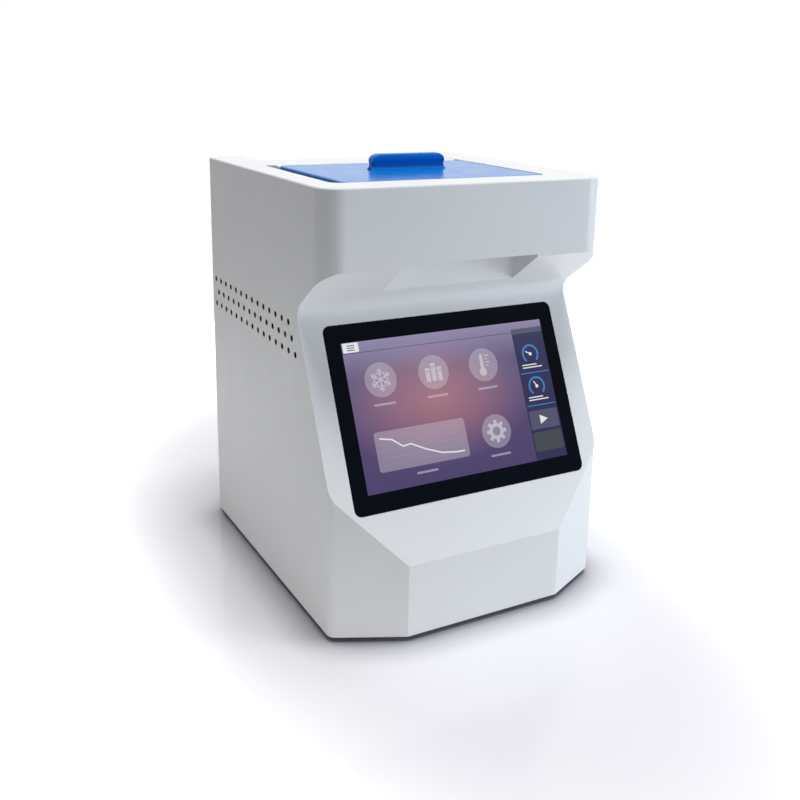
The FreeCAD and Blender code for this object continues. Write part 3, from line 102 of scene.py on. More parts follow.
# Polished glass: its weak, bluish mirror image
GLASS_SHINE = 0.07
GLASS_TINT = (0.55, 0.72, 1.0, 1.0)

# Noise runs mostly between these values
NOISE_LOW = 0.3
NOISE_HIGH = 0.7


class Look:
    """One procedural material, with short calls for the nodes that feed its shader."""

    def __init__(self, name, colour, roughness, metallic=0.0, **sockets):
        self.material = bpy.data.materials.new(name)
        self.material.use_nodes = True
        self.tree = self.material.node_tree
        self.shader = self.tree.nodes["Principled BSDF"]
        self.colour = colour
        self.roughness = roughness
        self.set("Base Color", (*colour, 1.0))
        self.set("Roughness", roughness)
        self.set("Metallic", metallic)
        for socket, value in sockets.items():
            self.set(socket.replace("_", " "), value)
        self.place = self.node("ShaderNodeTexCoord").outputs["Object"]

    def set(self, socket, value):
        self.shader.inputs[socket].default_value = value

    def node(self, kind, **values):
        """A new node of the kind, with its own settings given by name."""
        made = self.tree.nodes.new(kind)
        for key, value in values.items():
            setattr(made, key, value)
        return made

    def link(self, start, end):
        self.tree.links.new(start, end)

    def noise(self, size, detail=2.0, stretch=(1.0, 1.0, 1.0)):
        """Noise whose features are about size metres wide, longer along a stretched axis."""
        mapping = self.node("ShaderNodeMapping")
        mapping.inputs["Scale"].default_value = [1.0 / (size * s) for s in stretch]
        self.link(self.place, mapping.inputs["Vector"])
        made = self.node("ShaderNodeTexNoise")
        made.inputs["Scale"].default_value = 1.0
        made.inputs["Detail"].default_value = detail
        self.link(mapping.outputs["Vector"], made.inputs["Vector"])
        return made.outputs["Fac"]

    def ramp(self, source, *stops):
        """A colour ramp through (place, colour) stops."""
        made = self.node("ShaderNodeValToRGB")
        ends = made.color_ramp.elements
        while len(ends) < len(stops):
            ends.new(0.5)
        for end, (at, colour) in zip(ends, stops):
            end.position = at
            end.color = (*colour, 1.0)
        self.link(source, made.inputs["Fac"])
        return made.outputs["Color"]

    def vary_colour(self, source, change):
        """Base colour drifts by the given share either way."""
        darker = [c * (1.0 - change) for c in self.colour]
        lighter = [min(1.0, c * (1.0 + change)) for c in self.colour]
        drifted = self.ramp(source, (NOISE_LOW, darker), (NOISE_HIGH, lighter))
        self.link(drifted, self.shader.inputs["Base Color"])

    def vary_roughness(self, source, change):
        """Roughness drifts by the given amount either way."""
        made = self.node("ShaderNodeMapRange")
        made.inputs["From Min"].default_value = NOISE_LOW
        made.inputs["From Max"].default_value = NOISE_HIGH
        made.inputs["To Min"].default_value = self.roughness - change
        made.inputs["To Max"].default_value = self.roughness + change
        self.link(source, made.inputs["Value"])
        self.link(made.outputs["Result"], self.shader.inputs["Roughness"])

    def bump(self, source, depth, strength):
        made = self.node("ShaderNodeBump")
        made.inputs["Distance"].default_value = depth
        made.inputs["Strength"].default_value = strength
        self.link(source, made.inputs["Height"])
        self.link(made.outputs["Normal"], self.shader.inputs["Normal"])


def moulded(name, colour, roughness, grain, depth, drift=0.012, **sockets):
    """Moulded plastic: a spark-eroded grain, and colour and gloss that drift a little over the part."""
    look = Look(name, colour, roughness, **sockets)
    look.vary_colour(look.noise(0.09, 3.0), drift)
    look.vary_roughness(look.noise(0.02, 2.0), 0.03)
    look.bump(look.noise(grain, 2.0), depth, 0.5)
    return look.material


def brushed(name, colour, roughness, stretch=(40.0, 1.0, 1.0)):
    """Brushed or rolled metal, with fine lines along the stretched axis."""
    look = Look(name, colour, roughness, 1.0, Anisotropic=0.5)
    lines = look.noise(0.0004, 3.0, stretch)
    look.vary_colour(lines, 0.05)
    look.vary_roughness(lines, 0.07)
    look.bump(lines, 0.00002, 0.3)
    return look.material


def plated(name, colour, roughness):
    """Plated or turned metal with faint handling marks."""
    look = Look(name, colour, roughness, 1.0)
    marks = look.noise(0.004, 4.0)
    look.vary_colour(marks, 0.04)
    look.vary_roughness(marks, 0.06)
    return look.material


def powder_coat(name, colour, roughness):
    """Powder-coated sheet with its orange-peel surface."""
    look = Look(name, colour, roughness)
    look.vary_colour(look.noise(0.06, 2.0), 0.012)
    look.vary_roughness(look.noise(0.01, 2.0), 0.04)
    look.bump(look.noise(0.0011, 2.0), 0.00008, 0.5)
    return look.material


def rubber(name, colour):
    """Matt rubber with a dusty bloom."""
    look = Look(name, colour, 0.82)
    look.vary_colour(look.noise(0.006, 4.0), 0.25)
    look.bump(look.noise(0.0006, 2.0), 0.00004, 0.5)
    return look.material


def foam(name, colour):
    """Closed-cell foam."""
    look = Look(name, colour, 0.9)
    cells = look.node("ShaderNodeTexVoronoi")
    cells.inputs["Scale"].default_value = 700.0
    look.link(look.place, cells.inputs["Vector"])
    look.vary_colour(look.noise(0.02, 3.0), 0.04)
    look.bump(cells.outputs["Distance"], 0.0003, 0.6)
    return look.material


def solder_mask(name, colour):
    """Green board with faint tracks under its mask."""
    look = Look(name, colour, 0.35, Coat_Weight=0.3)
    tracks = look.node("ShaderNodeTexBrick")
    tracks.inputs["Scale"].default_value = 90.0
    tracks.inputs["Mortar Size"].default_value = 0.03
    tracks.inputs["Color1"].default_value = (*colour, 1.0)
    tracks.inputs["Color2"].default_value = (*[c * 0.8 for c in colour], 1.0)
    tracks.inputs["Mortar"].default_value = (*[c * 1.6 for c in colour], 1.0)
    look.link(look.place, tracks.inputs["Vector"])
    look.link(tracks.outputs["Color"], look.shader.inputs["Base Color"])
    return look.material


def cover_glass(name):
    """Black-backed cover glass: polished, with a faint film of handling on it."""
    look = Look(name, (0.001, 0.0015, 0.006), 0.06,
                Specular_IOR_Level=GLASS_SHINE, Specular_Tint=GLASS_TINT)
    smears = look.noise(0.03, 4.0, (2.0, 1.0, 1.0))
    look.vary_roughness(smears, 0.02)
    clean = (0.0003, 0.0005, 0.002)
    smeared = (0.0010, 0.0018, 0.006)
    look.link(look.ramp(smears, (0.35, clean), (0.75, smeared)), look.shader.inputs["Base Color"])
    return look.material


FINISHES = {
    "casing": lambda: moulded("casing_white", (0.785, 0.795, 0.81), 0.42, 0.0007, 0.00004,
                              Specular_IOR_Level=0.35),
    "lid_white": lambda: moulded("lid_white", (0.80, 0.81, 0.82), 0.42, 0.0006, 0.00005),
    "lid_blue": lambda: moulded("lid_blue", (0.001, 0.185, 0.600), 0.22, 0.0009, 0.000004, 0.02,
                                Specular_IOR_Level=0.30),
    "handle_blue": lambda: moulded("handle_blue", (0.0005, 0.165, 0.59), 0.30, 0.0008, 0.00002, 0.03,
                                   Specular_IOR_Level=0.12),
    "black_plastic": lambda: moulded("black_plastic", (0.016, 0.016, 0.018), 0.45, 0.0006, 0.00005,
                                     0.15),
    "display": lambda: moulded("display_case", (0.03, 0.03, 0.035), 0.35, 0.001, 0.00003, 0.1),
    "painted_sheet": lambda: powder_coat("painted_sheet", (0.72, 0.73, 0.745), 0.5),
    "bare_sheet": lambda: brushed("bare_sheet", (0.60, 0.61, 0.63), 0.36),
    "supply_case": lambda: brushed("supply_case", (0.66, 0.67, 0.68), 0.4, (1.0, 1.0, 40.0)),
    "chamber_steel": lambda: brushed("chamber_steel", (0.62, 0.63, 0.64), 0.28),
    "hinge_steel": lambda: brushed("hinge_steel", (0.58, 0.59, 0.61), 0.30),
    "port_metal": lambda: plated("port_metal", (0.62, 0.62, 0.64), 0.3),
    "fastener": lambda: plated("fastener", (0.50, 0.51, 0.53), 0.28),
    "guard_wire": lambda: plated("guard_wire", (0.72, 0.72, 0.74), 0.16),
    "aluminium": lambda: brushed("aluminium", (0.70, 0.71, 0.72), 0.34, (1.0, 30.0, 1.0)),
    "copper": lambda: plated("copper", (0.70, 0.36, 0.20), 0.28),
    "rubber": lambda: rubber("rubber_black", (0.018, 0.018, 0.019)),
    "foam": lambda: foam("insulating_foam", (0.74, 0.70, 0.58)),
    "circuit_board": lambda: solder_mask("solder_mask", (0.015, 0.12, 0.05)),
    "touch_glass": lambda: cover_glass("cover_glass"),
}


def add_object(name, data):
    """Puts an object with this data in the scene."""
    made = bpy.data.objects.new(name, data)
    bpy.context.scene.collection.objects.link(made)
    return made


def add_piece(name, shape, material, body):
    """Turns a bmesh into a piece that rides a body."""
    mesh = bpy.data.meshes.new(name)
    shape.to_mesh(mesh)
    shape.free()
    mesh.materials.append(material)
    piece = add_object(name, mesh)
    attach(piece, body)
    return piece


def bridge(shape, ring, other):
    """Joins two rings of as many corners with quads."""
    count = len(ring)
    for i in range(count):
        following = (i + 1) % count
        shape.faces.new((ring[i], ring[following], other[following], other[i]))


def dress_frame():
    """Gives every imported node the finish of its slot."""
    made = {}
    for part in frame["record"]["subparts"]:
        name = part["material_slot"]
        if name not in made:
            made[name] = FINISHES[name]()
        node = frame["nodes"][part["node"]]
        node.data.materials.clear()
        node.data.materials.append(made[name])


# Lid handle, as shares of its packed box: half thickness at each height, from the foot up to the top
HANDLE_SECTION = [
    (1.00, 0.00), (0.97, 0.03), (0.86, 0.07), (0.70, 0.12), (0.59, 0.18), (0.535, 0.25), (0.53, 0.33),
    (0.53, 0.41), (0.56, 0.46), (0.64, 0.53), (0.73, 0.58), (0.78, 0.62), (0.786, 0.67), (0.786, 0.74),
    (0.786, 0.81), (0.78, 0.87), (0.75, 0.925), (0.69, 0.965), (0.60, 0.992), (0.50, 1.00),
]
HANDLE_WAIST = 0.41

# The shoulders: their share of the half length, and how high they still are at the handle's end
HANDLE_SHOULDER = 0.25
HANDLE_SHOULDER_BASE = 0.50

# The ends: how far they lean in from the foot up, and how they round off in plan
HANDLE_FLARE = 0.03
HANDLE_FLARE_TOP = 0.25
HANDLE_FLARE_REACH = 8
HANDLE_END_RADIUS = 0.05
HANDLE_END_PINCH = 0.35
HANDLE_STATIONS = 96


def round_off(share):
    """Height of a quarter circle of radius 1 at a share of its width, and 1 before it starts."""
    share = max(0.0, share)
    return math.sqrt(max(0.0, 1.0 - share * share))


def handle_station(along):
    """Half a section of the handle at a share of its half length, as (place, thickness, height)."""
    reach = abs(along)
    shoulder = round_off((reach - (1.0 - HANDLE_SHOULDER)) / HANDLE_SHOULDER)
    top = HANDLE_SHOULDER_BASE + (1.0 - HANDLE_SHOULDER_BASE) * shoulder
    end = round_off((reach - (1.0 - HANDLE_END_RADIUS)) / HANDLE_END_RADIUS)
    pinch = 1.0 - HANDLE_END_PINCH * (1.0 - end)
    squeeze = (top - HANDLE_WAIST) / (1.0 - HANDLE_WAIST)
    points = []
    for thick, rise in HANDLE_SECTION:
        level = min(rise, HANDLE_WAIST) + max(0.0, rise - HANDLE_WAIST) * squeeze
        flare = HANDLE_FLARE * math.sqrt(min(1.0, level / HANDLE_FLARE_TOP))
        points.append((along * (1.0 - flare * reach ** HANDLE_FLARE_REACH), thick * pinch, level))
    return points


def build_handle():
    """The lid's low grip, waisted above its foot, with shoulders that round down to each end."""
    low, high = [Vector(corner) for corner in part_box("lid_handle")]
    middle = (low + high) / 2
    half = (high - low) / 2
    made = bmesh.new()
    rings = []
    for step in range(HANDLE_STATIONS + 1):
        points = handle_station(math.sin(math.pi * (step / HANDLE_STATIONS - 0.5)))
        outline = [(x, -y, z) for x, y, z in points] + [(x, y, z) for x, y, z in reversed(points)]
        places = [(middle.x + x * half.x, middle.y + y * half.y, low.z + z * 2 * half.z)
                  for x, y, z in outline]
        rings.append([made.verts.new(place) for place in places])
    for ring, other in zip(rings, rings[1:]):
        bridge(made, ring, other)
    made.faces.new(rings[0])
    made.faces.new(rings[-1])
    bmesh.ops.recalc_face_normals(made, faces=made.faces)
    blue = frame["nodes"]["lid_handle"].data.materials[0]
    piece = add_piece("lid_grip", made, blue, "lid")
    piece.data.shade_smooth()
    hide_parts("lid_handle")


# Black sleeves in the vents, in millimetres, which stand in for the shade inside the holes; the rows are
# those of the casing's own vents. The lowest row starts and ends at these distances from the casing's
# front and rear
VENT_RADIUS = 2.98
VENT_COUNTS = (15, 14, 14)
VENT_FRONT = 103.3
VENT_REAR = 16.3
VENT_LOW = 247.8
VENT_ROW_PITCH = 13.4
VENT_LIP = 0.02
VENT_DEPTH = 3.8
VENT_WALL = 0.3
VENT_STEPS = 20


def vent_places():
    """Middles of the round vents, as distances back and up."""
    front = CAD_BOX[0][1] / MM
    rear = CAD_BOX[1][1] / MM
    pitch = (rear - front - VENT_FRONT - VENT_REAR) / (VENT_COUNTS[0] - 1)
    for row, count in enumerate(VENT_COUNTS):
        for index in range(count):
            yield front + VENT_FRONT + (index + row / 2) * pitch, VENT_LOW + row * VENT_ROW_PITCH


def vent_ring(shape, x, back, up, radius):
    """A ring of corners round a vent's axis, at millimetres across, back and up."""
    ring = []
    for step in range(VENT_STEPS):
        angle = 2 * math.pi * step / VENT_STEPS
        place = (x, back + radius * math.cos(angle), up + radius * math.sin(angle))
        ring.append(shape.verts.new(Vector(place) * MM))
    return ring


def build_vent_shade_sleeves():
    """Thin-walled black tubes in the side vents, open at both ends; their black stands in for the shade
    inside the holes.
    """
    made = bmesh.new()
    side = CAD_BOX[1][0] / MM
    outer, inner = VENT_RADIUS, VENT_RADIUS - VENT_WALL
    section = [(VENT_LIP, outer), (VENT_LIP, inner), (VENT_DEPTH, inner), (VENT_DEPTH, outer)]
    for sign in (-1, 1):
        for back, up in vent_places():
            rings = [vent_ring(made, sign * (side - depth), back, up, radius)
                     for depth, radius in section]
            for ring, other in zip(rings, rings[1:] + rings[:1]):
                bridge(made, ring, other)
    bmesh.ops.recalc_face_normals(made, faces=made.faces)
    # Black plastic in the holes, painted shade where the casing's inside would only be in shadow
    black = frame["nodes"]["fan_frame"].data.materials[0]
    add_piece("vent_shade_sleeves", made, black, "casing")


# Screen layout, in millimetres from the middle of the cover glass, right and up
SCREEN_WIDTH = 217.0
SCREEN_HEIGHT = 136.0
SCREEN_LIFT = 0.05
LAYER = 0.04
SIDE_BAR_WIDTH = 36.0
HEADER_HEIGHT = 10.0

# The picture's warm glow: its middle, its reach in metres and its colours outwards
GLOW_MIDDLE = (-22.0, 6.0)
GLOW_REACH = (0.105, 0.062, 0.062)
GLOW_COLOURS = (
    (0.0, (0.34, 0.145, 0.150)),
    (0.45, (0.225, 0.105, 0.150)),
    (0.8, (0.105, 0.066, 0.135)),
    (1.0, (0.058, 0.044, 0.110)),
)

# The picture's dusk, from its lower edge up, and how much of it lies over the glow
SKY_COLOURS = (
    (0.0, (0.022, 0.018, 0.060)),
    (0.35, (0.050, 0.028, 0.070)),
    (0.75, (0.090, 0.080, 0.130)),
    (1.0, (0.300, 0.270, 0.400)),
)
SKY_SHARE = 0.8

# Discs with symbols
DISC_RADIUS = 16.0
DISC_MIDDLES = ((-76.0, 31.0), (-21.0, 31.0), (34.0, 31.0), (34.0, -33.0))
SNOWFLAKE_SIZE = 11.0
STROKE = 1.1

# Caption bars, each centred under its disc or card
CAPTION_WIDTH = 22.0
CAPTION_HEIGHT = 2.0
CAPTION_DROP = 22.2
CARD_CAPTION = (-46.0, -57.2)

# Card with the cooling curve
CARD = (-93.0, -51.0, 1.0, -15.0)
CURVE = ((-88.0, -21.0), (-76.0, -23.5), (-66.0, -31.0), (-58.0, -30.0), (-44.0, -37.0), (-28.0, -43.0),
         (-12.0, -45.0), (-4.0, -45.0))
CURVE_WIDTH = 1.3
GRID_LEFT, GRID_RIGHT = -89.0, -3.0
GRID_TOP = -21.0
GRID_PITCH = 6.0
GRID_LINES = 5
GRID_WIDTH = 0.25

# Gauges in the side bar: heights of their middles with the angles of their needles
GAUGES = ((35.0, 150), (3.0, 118))
GAUGE_ACROSS = 17.0
GAUGE_RADIUS = 8.6
GAUGE_WIDTH = 1.9
GAUGE_SWEEP = (-50, 230)
NEEDLE_LENGTH = 6.0
HUB_RADIUS = 1.7
NOTE_DROP = 10.5
NOTE_PITCH = 2.6

# Rules and keys in the side bar, as heights
RULE_LEVELS = (16.5, -15.5)
SIDE_MARGIN = 1.5
UPPER_KEY = (-38.5, -20.5)
LOWER_KEY = (-60.0, -41.5)
KEY_ARROW = ((13.0, -25.0), (13.0, -34.0), (22.0, -29.5))


def glass_plane():
    """Middle of the cover glass's front face, and the directions right, up and out of it."""
    mesh = frame["nodes"]["touch_glass"].data
    facing = [p for p in mesh.polygons if p.normal.y < -0.5]
    out = max(facing, key=lambda p: p.area).normal.copy()
    level = max(mesh.vertices[i].co.dot(out) for p in facing for i in p.vertices)
    corners = [v.co for v in mesh.vertices if level - v.co.dot(out) < 0.01 * MM]
    low = Vector([min(c[i] for c in corners) for i in range(3)])
    high = Vector([max(c[i] for c in corners) for i in range(3)])
    right = Vector((1.0, 0.0, 0.0))
    return (low + high) / 2, right, out.cross(right).normalized(), out


GLASS_MIDDLE, GLASS_RIGHT, GLASS_UP, GLASS_OUT = glass_plane()


def on_screen(right, up, lift=0.0):
    """A point over the glass, from millimetres right of and above its middle."""
    return GLASS_MIDDLE + (GLASS_RIGHT * right + GLASS_UP * up + GLASS_OUT * (SCREEN_LIFT + lift)) * MM


def rounded(left, low, right, high, radius, steps=5):
    """Outline of a rectangle with round corners."""
    corners = ((right - radius, high - radius, 0), (left + radius, high - radius, 90),
               (left + radius, low + radius, 180), (right - radius, low + radius, 270))
    points = []
    for x, y, start in corners:
        for step in range(steps + 1):
            angle = math.radians(start + 90 * step / steps)
            points.append((x + radius * math.cos(angle), y + radius * math.sin(angle)))
    return points


def disc(x, y, radius, steps=48):
    """Outline of a circle."""
    angles = [2 * math.pi * i / steps for i in range(steps)]
    return [(x + radius * math.cos(angle), y + radius * math.sin(angle)) for angle in angles]


def bar(x0, y0, x1, y1, width):
    """Outline of a straight stroke."""
    along = Vector((x1 - x0, y1 - y0)).normalized()
    side = Vector((-along.y, along.x)) * width / 2
    return [(x0 + side.x, y0 + side.y), (x0 - side.x, y0 - side.y),
            (x1 - side.x, y1 - side.y), (x1 + side.x, y1 + side.y)]


def arc(x, y, radius, width, start, end, steps):
    """Outlines of a ring's stretch, as short quads, from start to end in degrees."""
    inner, outer = radius - width / 2, radius + width / 2
    parts = []
    for i in range(steps):
        a = math.radians(start + (end - start) * i / steps)
        b = math.radians(start + (end - start) * (i + 1) / steps)
        parts.append([(x + inner * math.cos(a), y + inner * math.sin(a)),
                      (x + inner * math.cos(b), y + inner * math.sin(b)),
                      (x + outer * math.cos(b), y + outer * math.sin(b)),
                      (x + outer * math.cos(a), y + outer * math.sin(a))])
    return parts


def screen_piece(name, layer, outlines, material):
    """Flat shapes over the glass; a higher layer lies over a lower one."""
    made = bmesh.new()
    for outline in outlines:
        face = made.faces.new([made.verts.new(on_screen(x, y, layer * LAYER)) for x, y in outline])
        face.normal_update()
        if face.normal.dot(GLASS_OUT) < 0:
            face.normal_flip()
    add_piece(name, made, material, "casing")


def screen_look(name, veil, tint=(1.0, 1.0, 1.0)):
    """The lit picture: dusk colours with a warm glow, under a veil of the tint."""
    look = Look(name, (0.0, 0.0, 0.0), 0.07, Specular_IOR_Level=GLASS_SHINE, Specular_Tint=GLASS_TINT)
    middle = look.node("ShaderNodeVectorMath", operation="SUBTRACT")
    middle.inputs[1].default_value = on_screen(*GLOW_MIDDLE)
    look.link(look.place, middle.inputs[0])
    spread = look.node("ShaderNodeVectorMath", operation="MULTIPLY")
    spread.inputs[1].default_value = [1 / reach for reach in GLOW_REACH]
    look.link(middle.outputs[0], spread.inputs[0])
    away = look.node("ShaderNodeVectorMath", operation="LENGTH")
    look.link(spread.outputs[0], away.inputs[0])
    height = look.node("ShaderNodeSeparateXYZ")
    look.link(look.place, height.inputs[0])
    level = look.node("ShaderNodeMapRange")
    level.inputs["From Min"].default_value = on_screen(0, -SCREEN_HEIGHT / 2).z
    level.inputs["From Max"].default_value = on_screen(0, SCREEN_HEIGHT / 2).z
    look.link(height.outputs["Z"], level.inputs["Value"])
    both = look.node("ShaderNodeMix", data_type="RGBA", blend_type="SCREEN")
    both.inputs["Factor"].default_value = SKY_SHARE
    look.link(look.ramp(away.outputs["Value"], *GLOW_COLOURS), both.inputs["A"])
    look.link(look.ramp(level.outputs["Result"], *SKY_COLOURS), both.inputs["B"])
    veiled = look.node("ShaderNodeMix", data_type="RGBA")
    veiled.inputs["Factor"].default_value = veil
    veiled.inputs["B"].default_value = (*tint, 1.0)
    look.link(both.outputs["Result"], veiled.inputs["A"])
    look.link(veiled.outputs["Result"], look.shader.inputs["Emission Color"])
    look.set("Emission Strength", 1.0)
    return look.material


def snowflake(x, y, size):
    """Six arms with two pairs of barbs each."""
    strokes = []
    for arm in range(6):
        turn = Matrix.Rotation(math.radians(60 * arm + 30), 2)
        lines = [((0, 0), (size, 0))]
        for start, reach in ((0.42, 0.30), (0.68, 0.22)):
            for side in (1, -1):
                lines.append(((size * start, 0), (size * (start + reach * 0.7), side * size * reach)))
        for a, b in lines:
            p = turn @ Vector(a)
            q = turn @ Vector(b)
            strokes.append(bar(x + p.x, y + p.y, x + q.x, y + q.y, STROKE))
    return strokes


def vials(x, y):
    """Three capped vials side by side, the middle one taller."""
    shapes = []
    low = y - 8.5
    for shift, height in ((-6.2, 13.0), (0.0, 17.0), (6.2, 13.0)):
        middle = x + shift
        shapes.append(rounded(middle - 2.4, low, middle + 2.4, low + height - 3.6, 1.6))
        shapes.append(rounded(middle - 2.7, low + height - 3.0, middle + 2.7, low + height, 0.6))
    return shapes


def thermometer(x, y):
    """A bulb, its stem and four scale marks."""
    shapes = [disc(x - 1.5, y - 6.5, 3.9, 28), rounded(x - 3.3, y - 5.0, x + 0.3, y + 10.5, 1.7)]
    for mark, reach in enumerate((5.6, 7.4, 5.6, 7.4)):
        level = y - 1.0 + mark * 3.2
        shapes.append(bar(x + 2.4, level, x + reach, level, STROKE))
    return shapes


def gear(x, y):
    """A ring with eight teeth."""
    root, tip, width = 7.2, 10.6, 3.4
    shapes = arc(x, y, 6.0, width, 0, 360, 32)
    for tooth in range(8):
        angle = math.radians(45 * tooth)
        across, up = math.cos(angle), math.sin(angle)
        shapes.append(bar(x + root * across, y + root * up, x + tip * across, y + tip * up, width))
    return shapes


def caption(x, y):
    """Outline of a caption bar about its middle."""
    half_width, half_height = CAPTION_WIDTH / 2, CAPTION_HEIGHT / 2
    return rounded(x - half_width, y - half_height, x + half_width, y + half_height, 0.9)


def build_main_field(looks):
    """Discs with symbols, and a card with a cooling curve."""
    screen_piece("screen_discs", 1, [disc(x, y, DISC_RADIUS) for x, y in DISC_MIDDLES], looks["veil"])
    screen_piece("screen_card", 1, [rounded(*CARD, 3.0)], looks["veil"])
    cold, samples, warmth, settings = DISC_MIDDLES
    symbols = snowflake(*cold, SNOWFLAKE_SIZE) + vials(*samples) + thermometer(*warmth) + gear(*settings)
    screen_piece("screen_symbols", 2, symbols, looks["pale"])
    strokes = [bar(*a, *b, CURVE_WIDTH) for a, b in zip(CURVE, CURVE[1:])]
    strokes += [disc(x, y, CURVE_WIDTH / 2, 16) for x, y in CURVE[1:-1]]
    screen_piece("screen_curve", 3, strokes, looks["white"])
    levels = [GRID_TOP - GRID_PITCH * i for i in range(GRID_LINES)]
    grid = [bar(GRID_LEFT, level, GRID_RIGHT, level, GRID_WIDTH) for level in levels]
    screen_piece("screen_grid", 2, grid, looks["faint"])
    captions = [caption(x, y - CAPTION_DROP) for x, y in DISC_MIDDLES] + [caption(*CARD_CAPTION)]
    screen_piece("screen_captions", 1, captions, looks["faint"])


def build_header(looks, left, split, header, top):
    """A thin line and a tab with three strokes."""
    screen_piece("screen_header_line", 1, [bar(left, header, split, header, 0.5)], looks["dark"])
    tab = rounded(left + 1.0, header + 0.8, left + 16.5, top - 0.4, 0.8)
    screen_piece("screen_tab", 1, [tab], looks["white"])
    levels = [header + 2.9 + 2.1 * i for i in range(3)]
    marks = [bar(left + 5.0, level, left + 12.5, level, 0.8) for level in levels]
    screen_piece("screen_tab_marks", 2, marks, looks["side"])


def build_side_bar(looks, split, right, header, low):
    """Two gauges with notes under them, and two keys."""
    bar_top = header + 3.0
    screen_piece("screen_side_bar", 1, [rounded(split, low, right, bar_top, 0.4)], looks["side"])
    head = rounded(split, header - 2.0, right, bar_top, 0.4)
    screen_piece("screen_side_head", 2, [head], looks["side_lit"])
    middle = split + GAUGE_ACROSS
    gauges = []
    needles = []
    for level, angle in GAUGES:
        gauges += arc(middle, level, GAUGE_RADIUS, GAUGE_WIDTH, *GAUGE_SWEEP, 36)
        turn = math.radians(angle)
        tip = (middle + NEEDLE_LENGTH * math.cos(turn), level + NEEDLE_LENGTH * math.sin(turn))
        needles.append(bar(middle, level, *tip, STROKE))
        needles.append(disc(middle, level, HUB_RADIUS, 20))
        for line in range(2):
            note = level - NOTE_DROP - NOTE_PITCH * line
            needles.append(rounded(split + 5.0, note - 0.55, split + 22.0 + 6.0 * line, note + 0.55, 0.5))
    screen_piece("screen_gauges", 2, gauges, looks["blue"])
    screen_piece("screen_needles", 3, needles, looks["white"])
    inner_left = split + SIDE_MARGIN
    inner_right = right - SIDE_MARGIN
    rules = [bar(inner_left, level, inner_right, level, 0.9) for level in RULE_LEVELS]
    screen_piece("screen_side_rules", 2, rules, looks["blue"])
    for name, (bottom, top), look in (("screen_key_upper", UPPER_KEY, "side_lit"),
                                      ("screen_key_lower", LOWER_KEY, "olive")):
        screen_piece(name, 2, [rounded(inner_left, bottom, inner_right, top, 1.2)], looks[look])
    arrow = [(split + across, level) for across, level in KEY_ARROW]
    screen_piece("screen_key_arrow", 3, [arrow], looks["white"])


def build_screen():
    """The lit picture on the cover glass."""
    right, top = SCREEN_WIDTH / 2, SCREEN_HEIGHT / 2
    split = right - SIDE_BAR_WIDTH
    header = top - HEADER_HEIGHT
    looks = {
        "field": screen_look("screen_field", 0.0),
        "veil": screen_look("screen_veil", 0.24, (0.75, 0.70, 0.80)),
        "pale": screen_look("screen_symbol", 0.80, (0.62, 0.58, 0.66)),
        "faint": screen_look("screen_caption", 0.45, (0.60, 0.56, 0.66)),
        "dark": screen_look("screen_line", 0.75, (0.02, 0.02, 0.05)),
        "side": screen_look("screen_side", 0.90, (0.030, 0.030, 0.085)),
        "side_lit": screen_look("screen_side_strip", 0.90, (0.085, 0.095, 0.150)),
        "olive": screen_look("screen_olive", 0.94, (0.062, 0.072, 0.075)),
        "blue": screen_look("screen_blue", 0.97, (0.050, 0.230, 0.520)),
        "white": screen_look("screen_white", 0.97, (0.78, 0.78, 0.82)),
    }
    screen_piece("screen_field", 0, [rounded(-right, -top, right, top, 0.6)], looks["field"])
    build_main_field(looks)
    build_header(looks, -right, split, header, top)
    build_side_bar(looks, split, right, header, -top)


def floor_colour_and_painted_shade(look, path):
    """Plain to light; to the eye, a painted contact shadow from an ambient-occlusion node darkens it
    close to what stands on it.
    """
    # Ambient occlusion darkens the camera's view of the floor near the part: this is a painted contact
    # shadow
    painted_shade_mask = look.node("ShaderNodeAmbientOcclusion", samples=FLOOR_PAINTED_SHADE_RAYS)
    painted_shade_mask.inputs["Distance"].default_value = FLOOR_PAINTED_SHADE_REACH
    upper_half = look.node("ShaderNodeMath", operation="MULTIPLY_ADD")
    look.link(painted_shade_mask.outputs["AO"], upper_half.inputs[0])
    upper_half.inputs[1].default_value = 0.5
    upper_half.inputs[2].default_value = 0.5
    factor = look.node("ShaderNodeMath", operation="MULTIPLY")
    look.link(upper_half.outputs[0], factor.inputs[0])
    look.link(path.outputs["Is Camera Ray"], factor.inputs[1])
    return look.ramp(factor.outputs[0], (0.0, FLOOR_LIT), (FLOOR_PAINTED_SHADE_PLACE, FLOOR_PAINTED_SHADE),
                     (1.0, FLOOR_SHOWN))


def floor_glow(look, path):
    """White light of the floor further out, for the eye and for mirror images alone."""
    seen = look.node("ShaderNodeMath", operation="MAXIMUM")
    look.link(path.outputs["Is Camera Ray"], seen.inputs[0])
    look.link(path.outputs["Is Glossy Ray"], seen.inputs[1])
    stretched = look.node("ShaderNodeVectorMath", operation="MULTIPLY")
    stretched.inputs[1].default_value = (FLOOR_ACROSS, 1.0, 1.0)
    look.link(look.place, stretched.inputs[0])
    away = look.node("ShaderNodeVectorMath", operation="LENGTH")
    look.link(stretched.outputs[0], away.inputs[0])
    white = look.node("ShaderNodeMapRange", interpolation_type="SMOOTHSTEP")
    white.inputs["From Min"].default_value = FLOOR_FADE[0]
    white.inputs["From Max"].default_value = FLOOR_FADE[1]
    white.inputs["To Min"].default_value = FLOOR_NEAR_WHITE
    white.inputs["To Max"].default_value = FLOOR_FAR_WHITE
    look.link(away.outputs["Value"], white.inputs["Value"])
    lift = look.node("ShaderNodeMath", operation="MULTIPLY")
    look.link(seen.outputs[0], lift.inputs[0])
    look.link(white.outputs["Result"], lift.inputs[1])
    return lift.outputs[0]


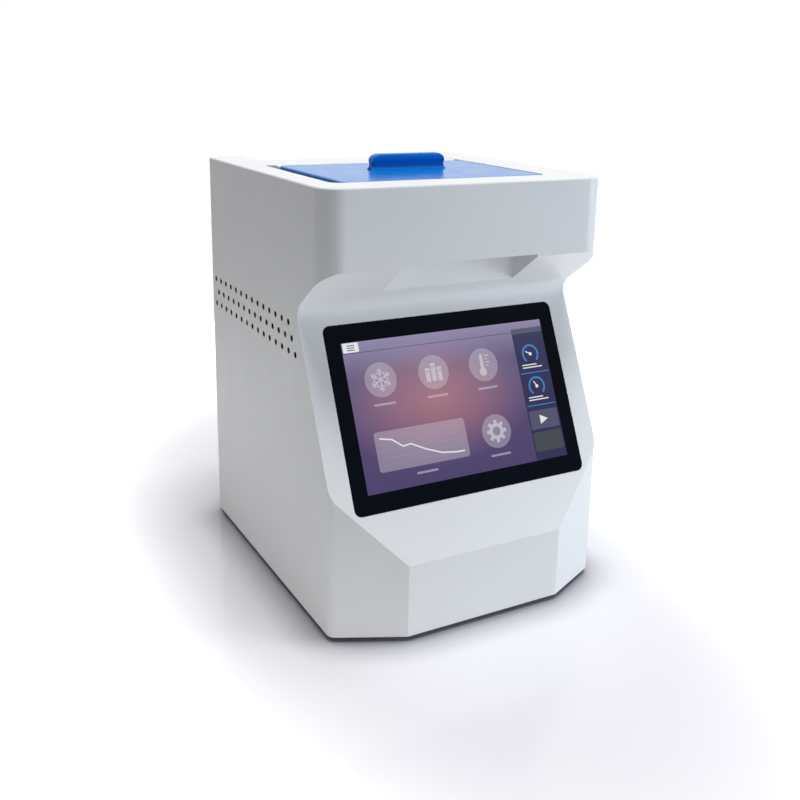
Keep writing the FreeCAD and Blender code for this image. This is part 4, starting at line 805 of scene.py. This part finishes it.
def build_floor():
    """A plain white floor that keeps the object's shadow, with a painted contact shadow added close to
    the object.
    """
    half = FLOOR_SIZE / 2
    corners = [(-half, -half, 0), (half, -half, 0), (half, half, 0), (-half, half, 0)]
    mesh = bpy.data.meshes.new("studio_floor")
    mesh.from_pydata(corners, [], [(0, 1, 2, 3)])
    look = Look("studio_floor", FLOOR_LIT, FLOOR_ROUGHNESS)
    path = look.node("ShaderNodeLightPath")
    look.link(floor_colour_and_painted_shade(look, path), look.shader.inputs["Base Color"])
    look.set("Emission Color", (1.0, 1.0, 1.0, 1.0))
    look.link(floor_glow(look, path), look.shader.inputs["Emission Strength"])
    mesh.materials.append(look.material)
    add_object("studio_floor", mesh)


def build_world():
    """White to the eye, in mirror images and through clear pieces, and dimmer as light."""
    world = bpy.data.worlds.new("studio")
    bpy.context.scene.world = world
    world.use_nodes = True
    tree = world.node_tree
    background = tree.nodes["Background"]
    path = tree.nodes.new("ShaderNodeLightPath")
    white = path.outputs["Is Camera Ray"]
    for ray in ("Is Glossy Ray", "Is Transmission Ray"):
        either = tree.nodes.new("ShaderNodeMath")
        either.operation = "MAXIMUM"
        tree.links.new(white, either.inputs[0])
        tree.links.new(path.outputs[ray], either.inputs[1])
        white = either.outputs[0]
    level = tree.nodes.new("ShaderNodeMapRange")
    level.inputs["To Min"].default_value = WORLD_LIGHT
    level.inputs["To Max"].default_value = 1.0
    tree.links.new(white, level.inputs["Value"])
    tree.links.new(level.outputs["Result"], background.inputs["Strength"])
    background.inputs["Color"].default_value = (1.0, 1.0, 1.0, 1.0)


def build_lamps():
    """Soft rectangular lamps, each turned to its target."""
    for name, (place, target, size, power, colour, spread) in LAMPS.items():
        data = bpy.data.lights.new(name, "AREA")
        data.shape = "RECTANGLE"
        data.size, data.size_y = size
        data.energy = power
        data.color = colour
        data.spread = math.radians(spread)
        lamp = add_object(name, data)
        lamp.location = place
        lamp.rotation_euler = (Vector(target) - Vector(place)).to_track_quat("-Z", "Y").to_euler()


def build_camera():
    """The camera at the photograph's angle."""
    data = bpy.data.cameras.new("photo_view")
    data.lens = CAMERA_LENS
    data.shift_x, data.shift_y = CAMERA_SHIFT
    data.clip_start, data.clip_end = CAMERA_CLIP
    camera = add_object("photo_view", data)
    camera.location = CAMERA_PLACE
    camera.rotation_euler = [math.radians(angle) for angle in CAMERA_ANGLES]
    bpy.context.scene.camera = camera


dress_frame()
build_handle()
build_vent_shade_sleeves()
build_screen()
build_floor()
build_world()
build_lamps()
build_camera()
bpy.context.scene.view_settings.view_transform = "Standard"
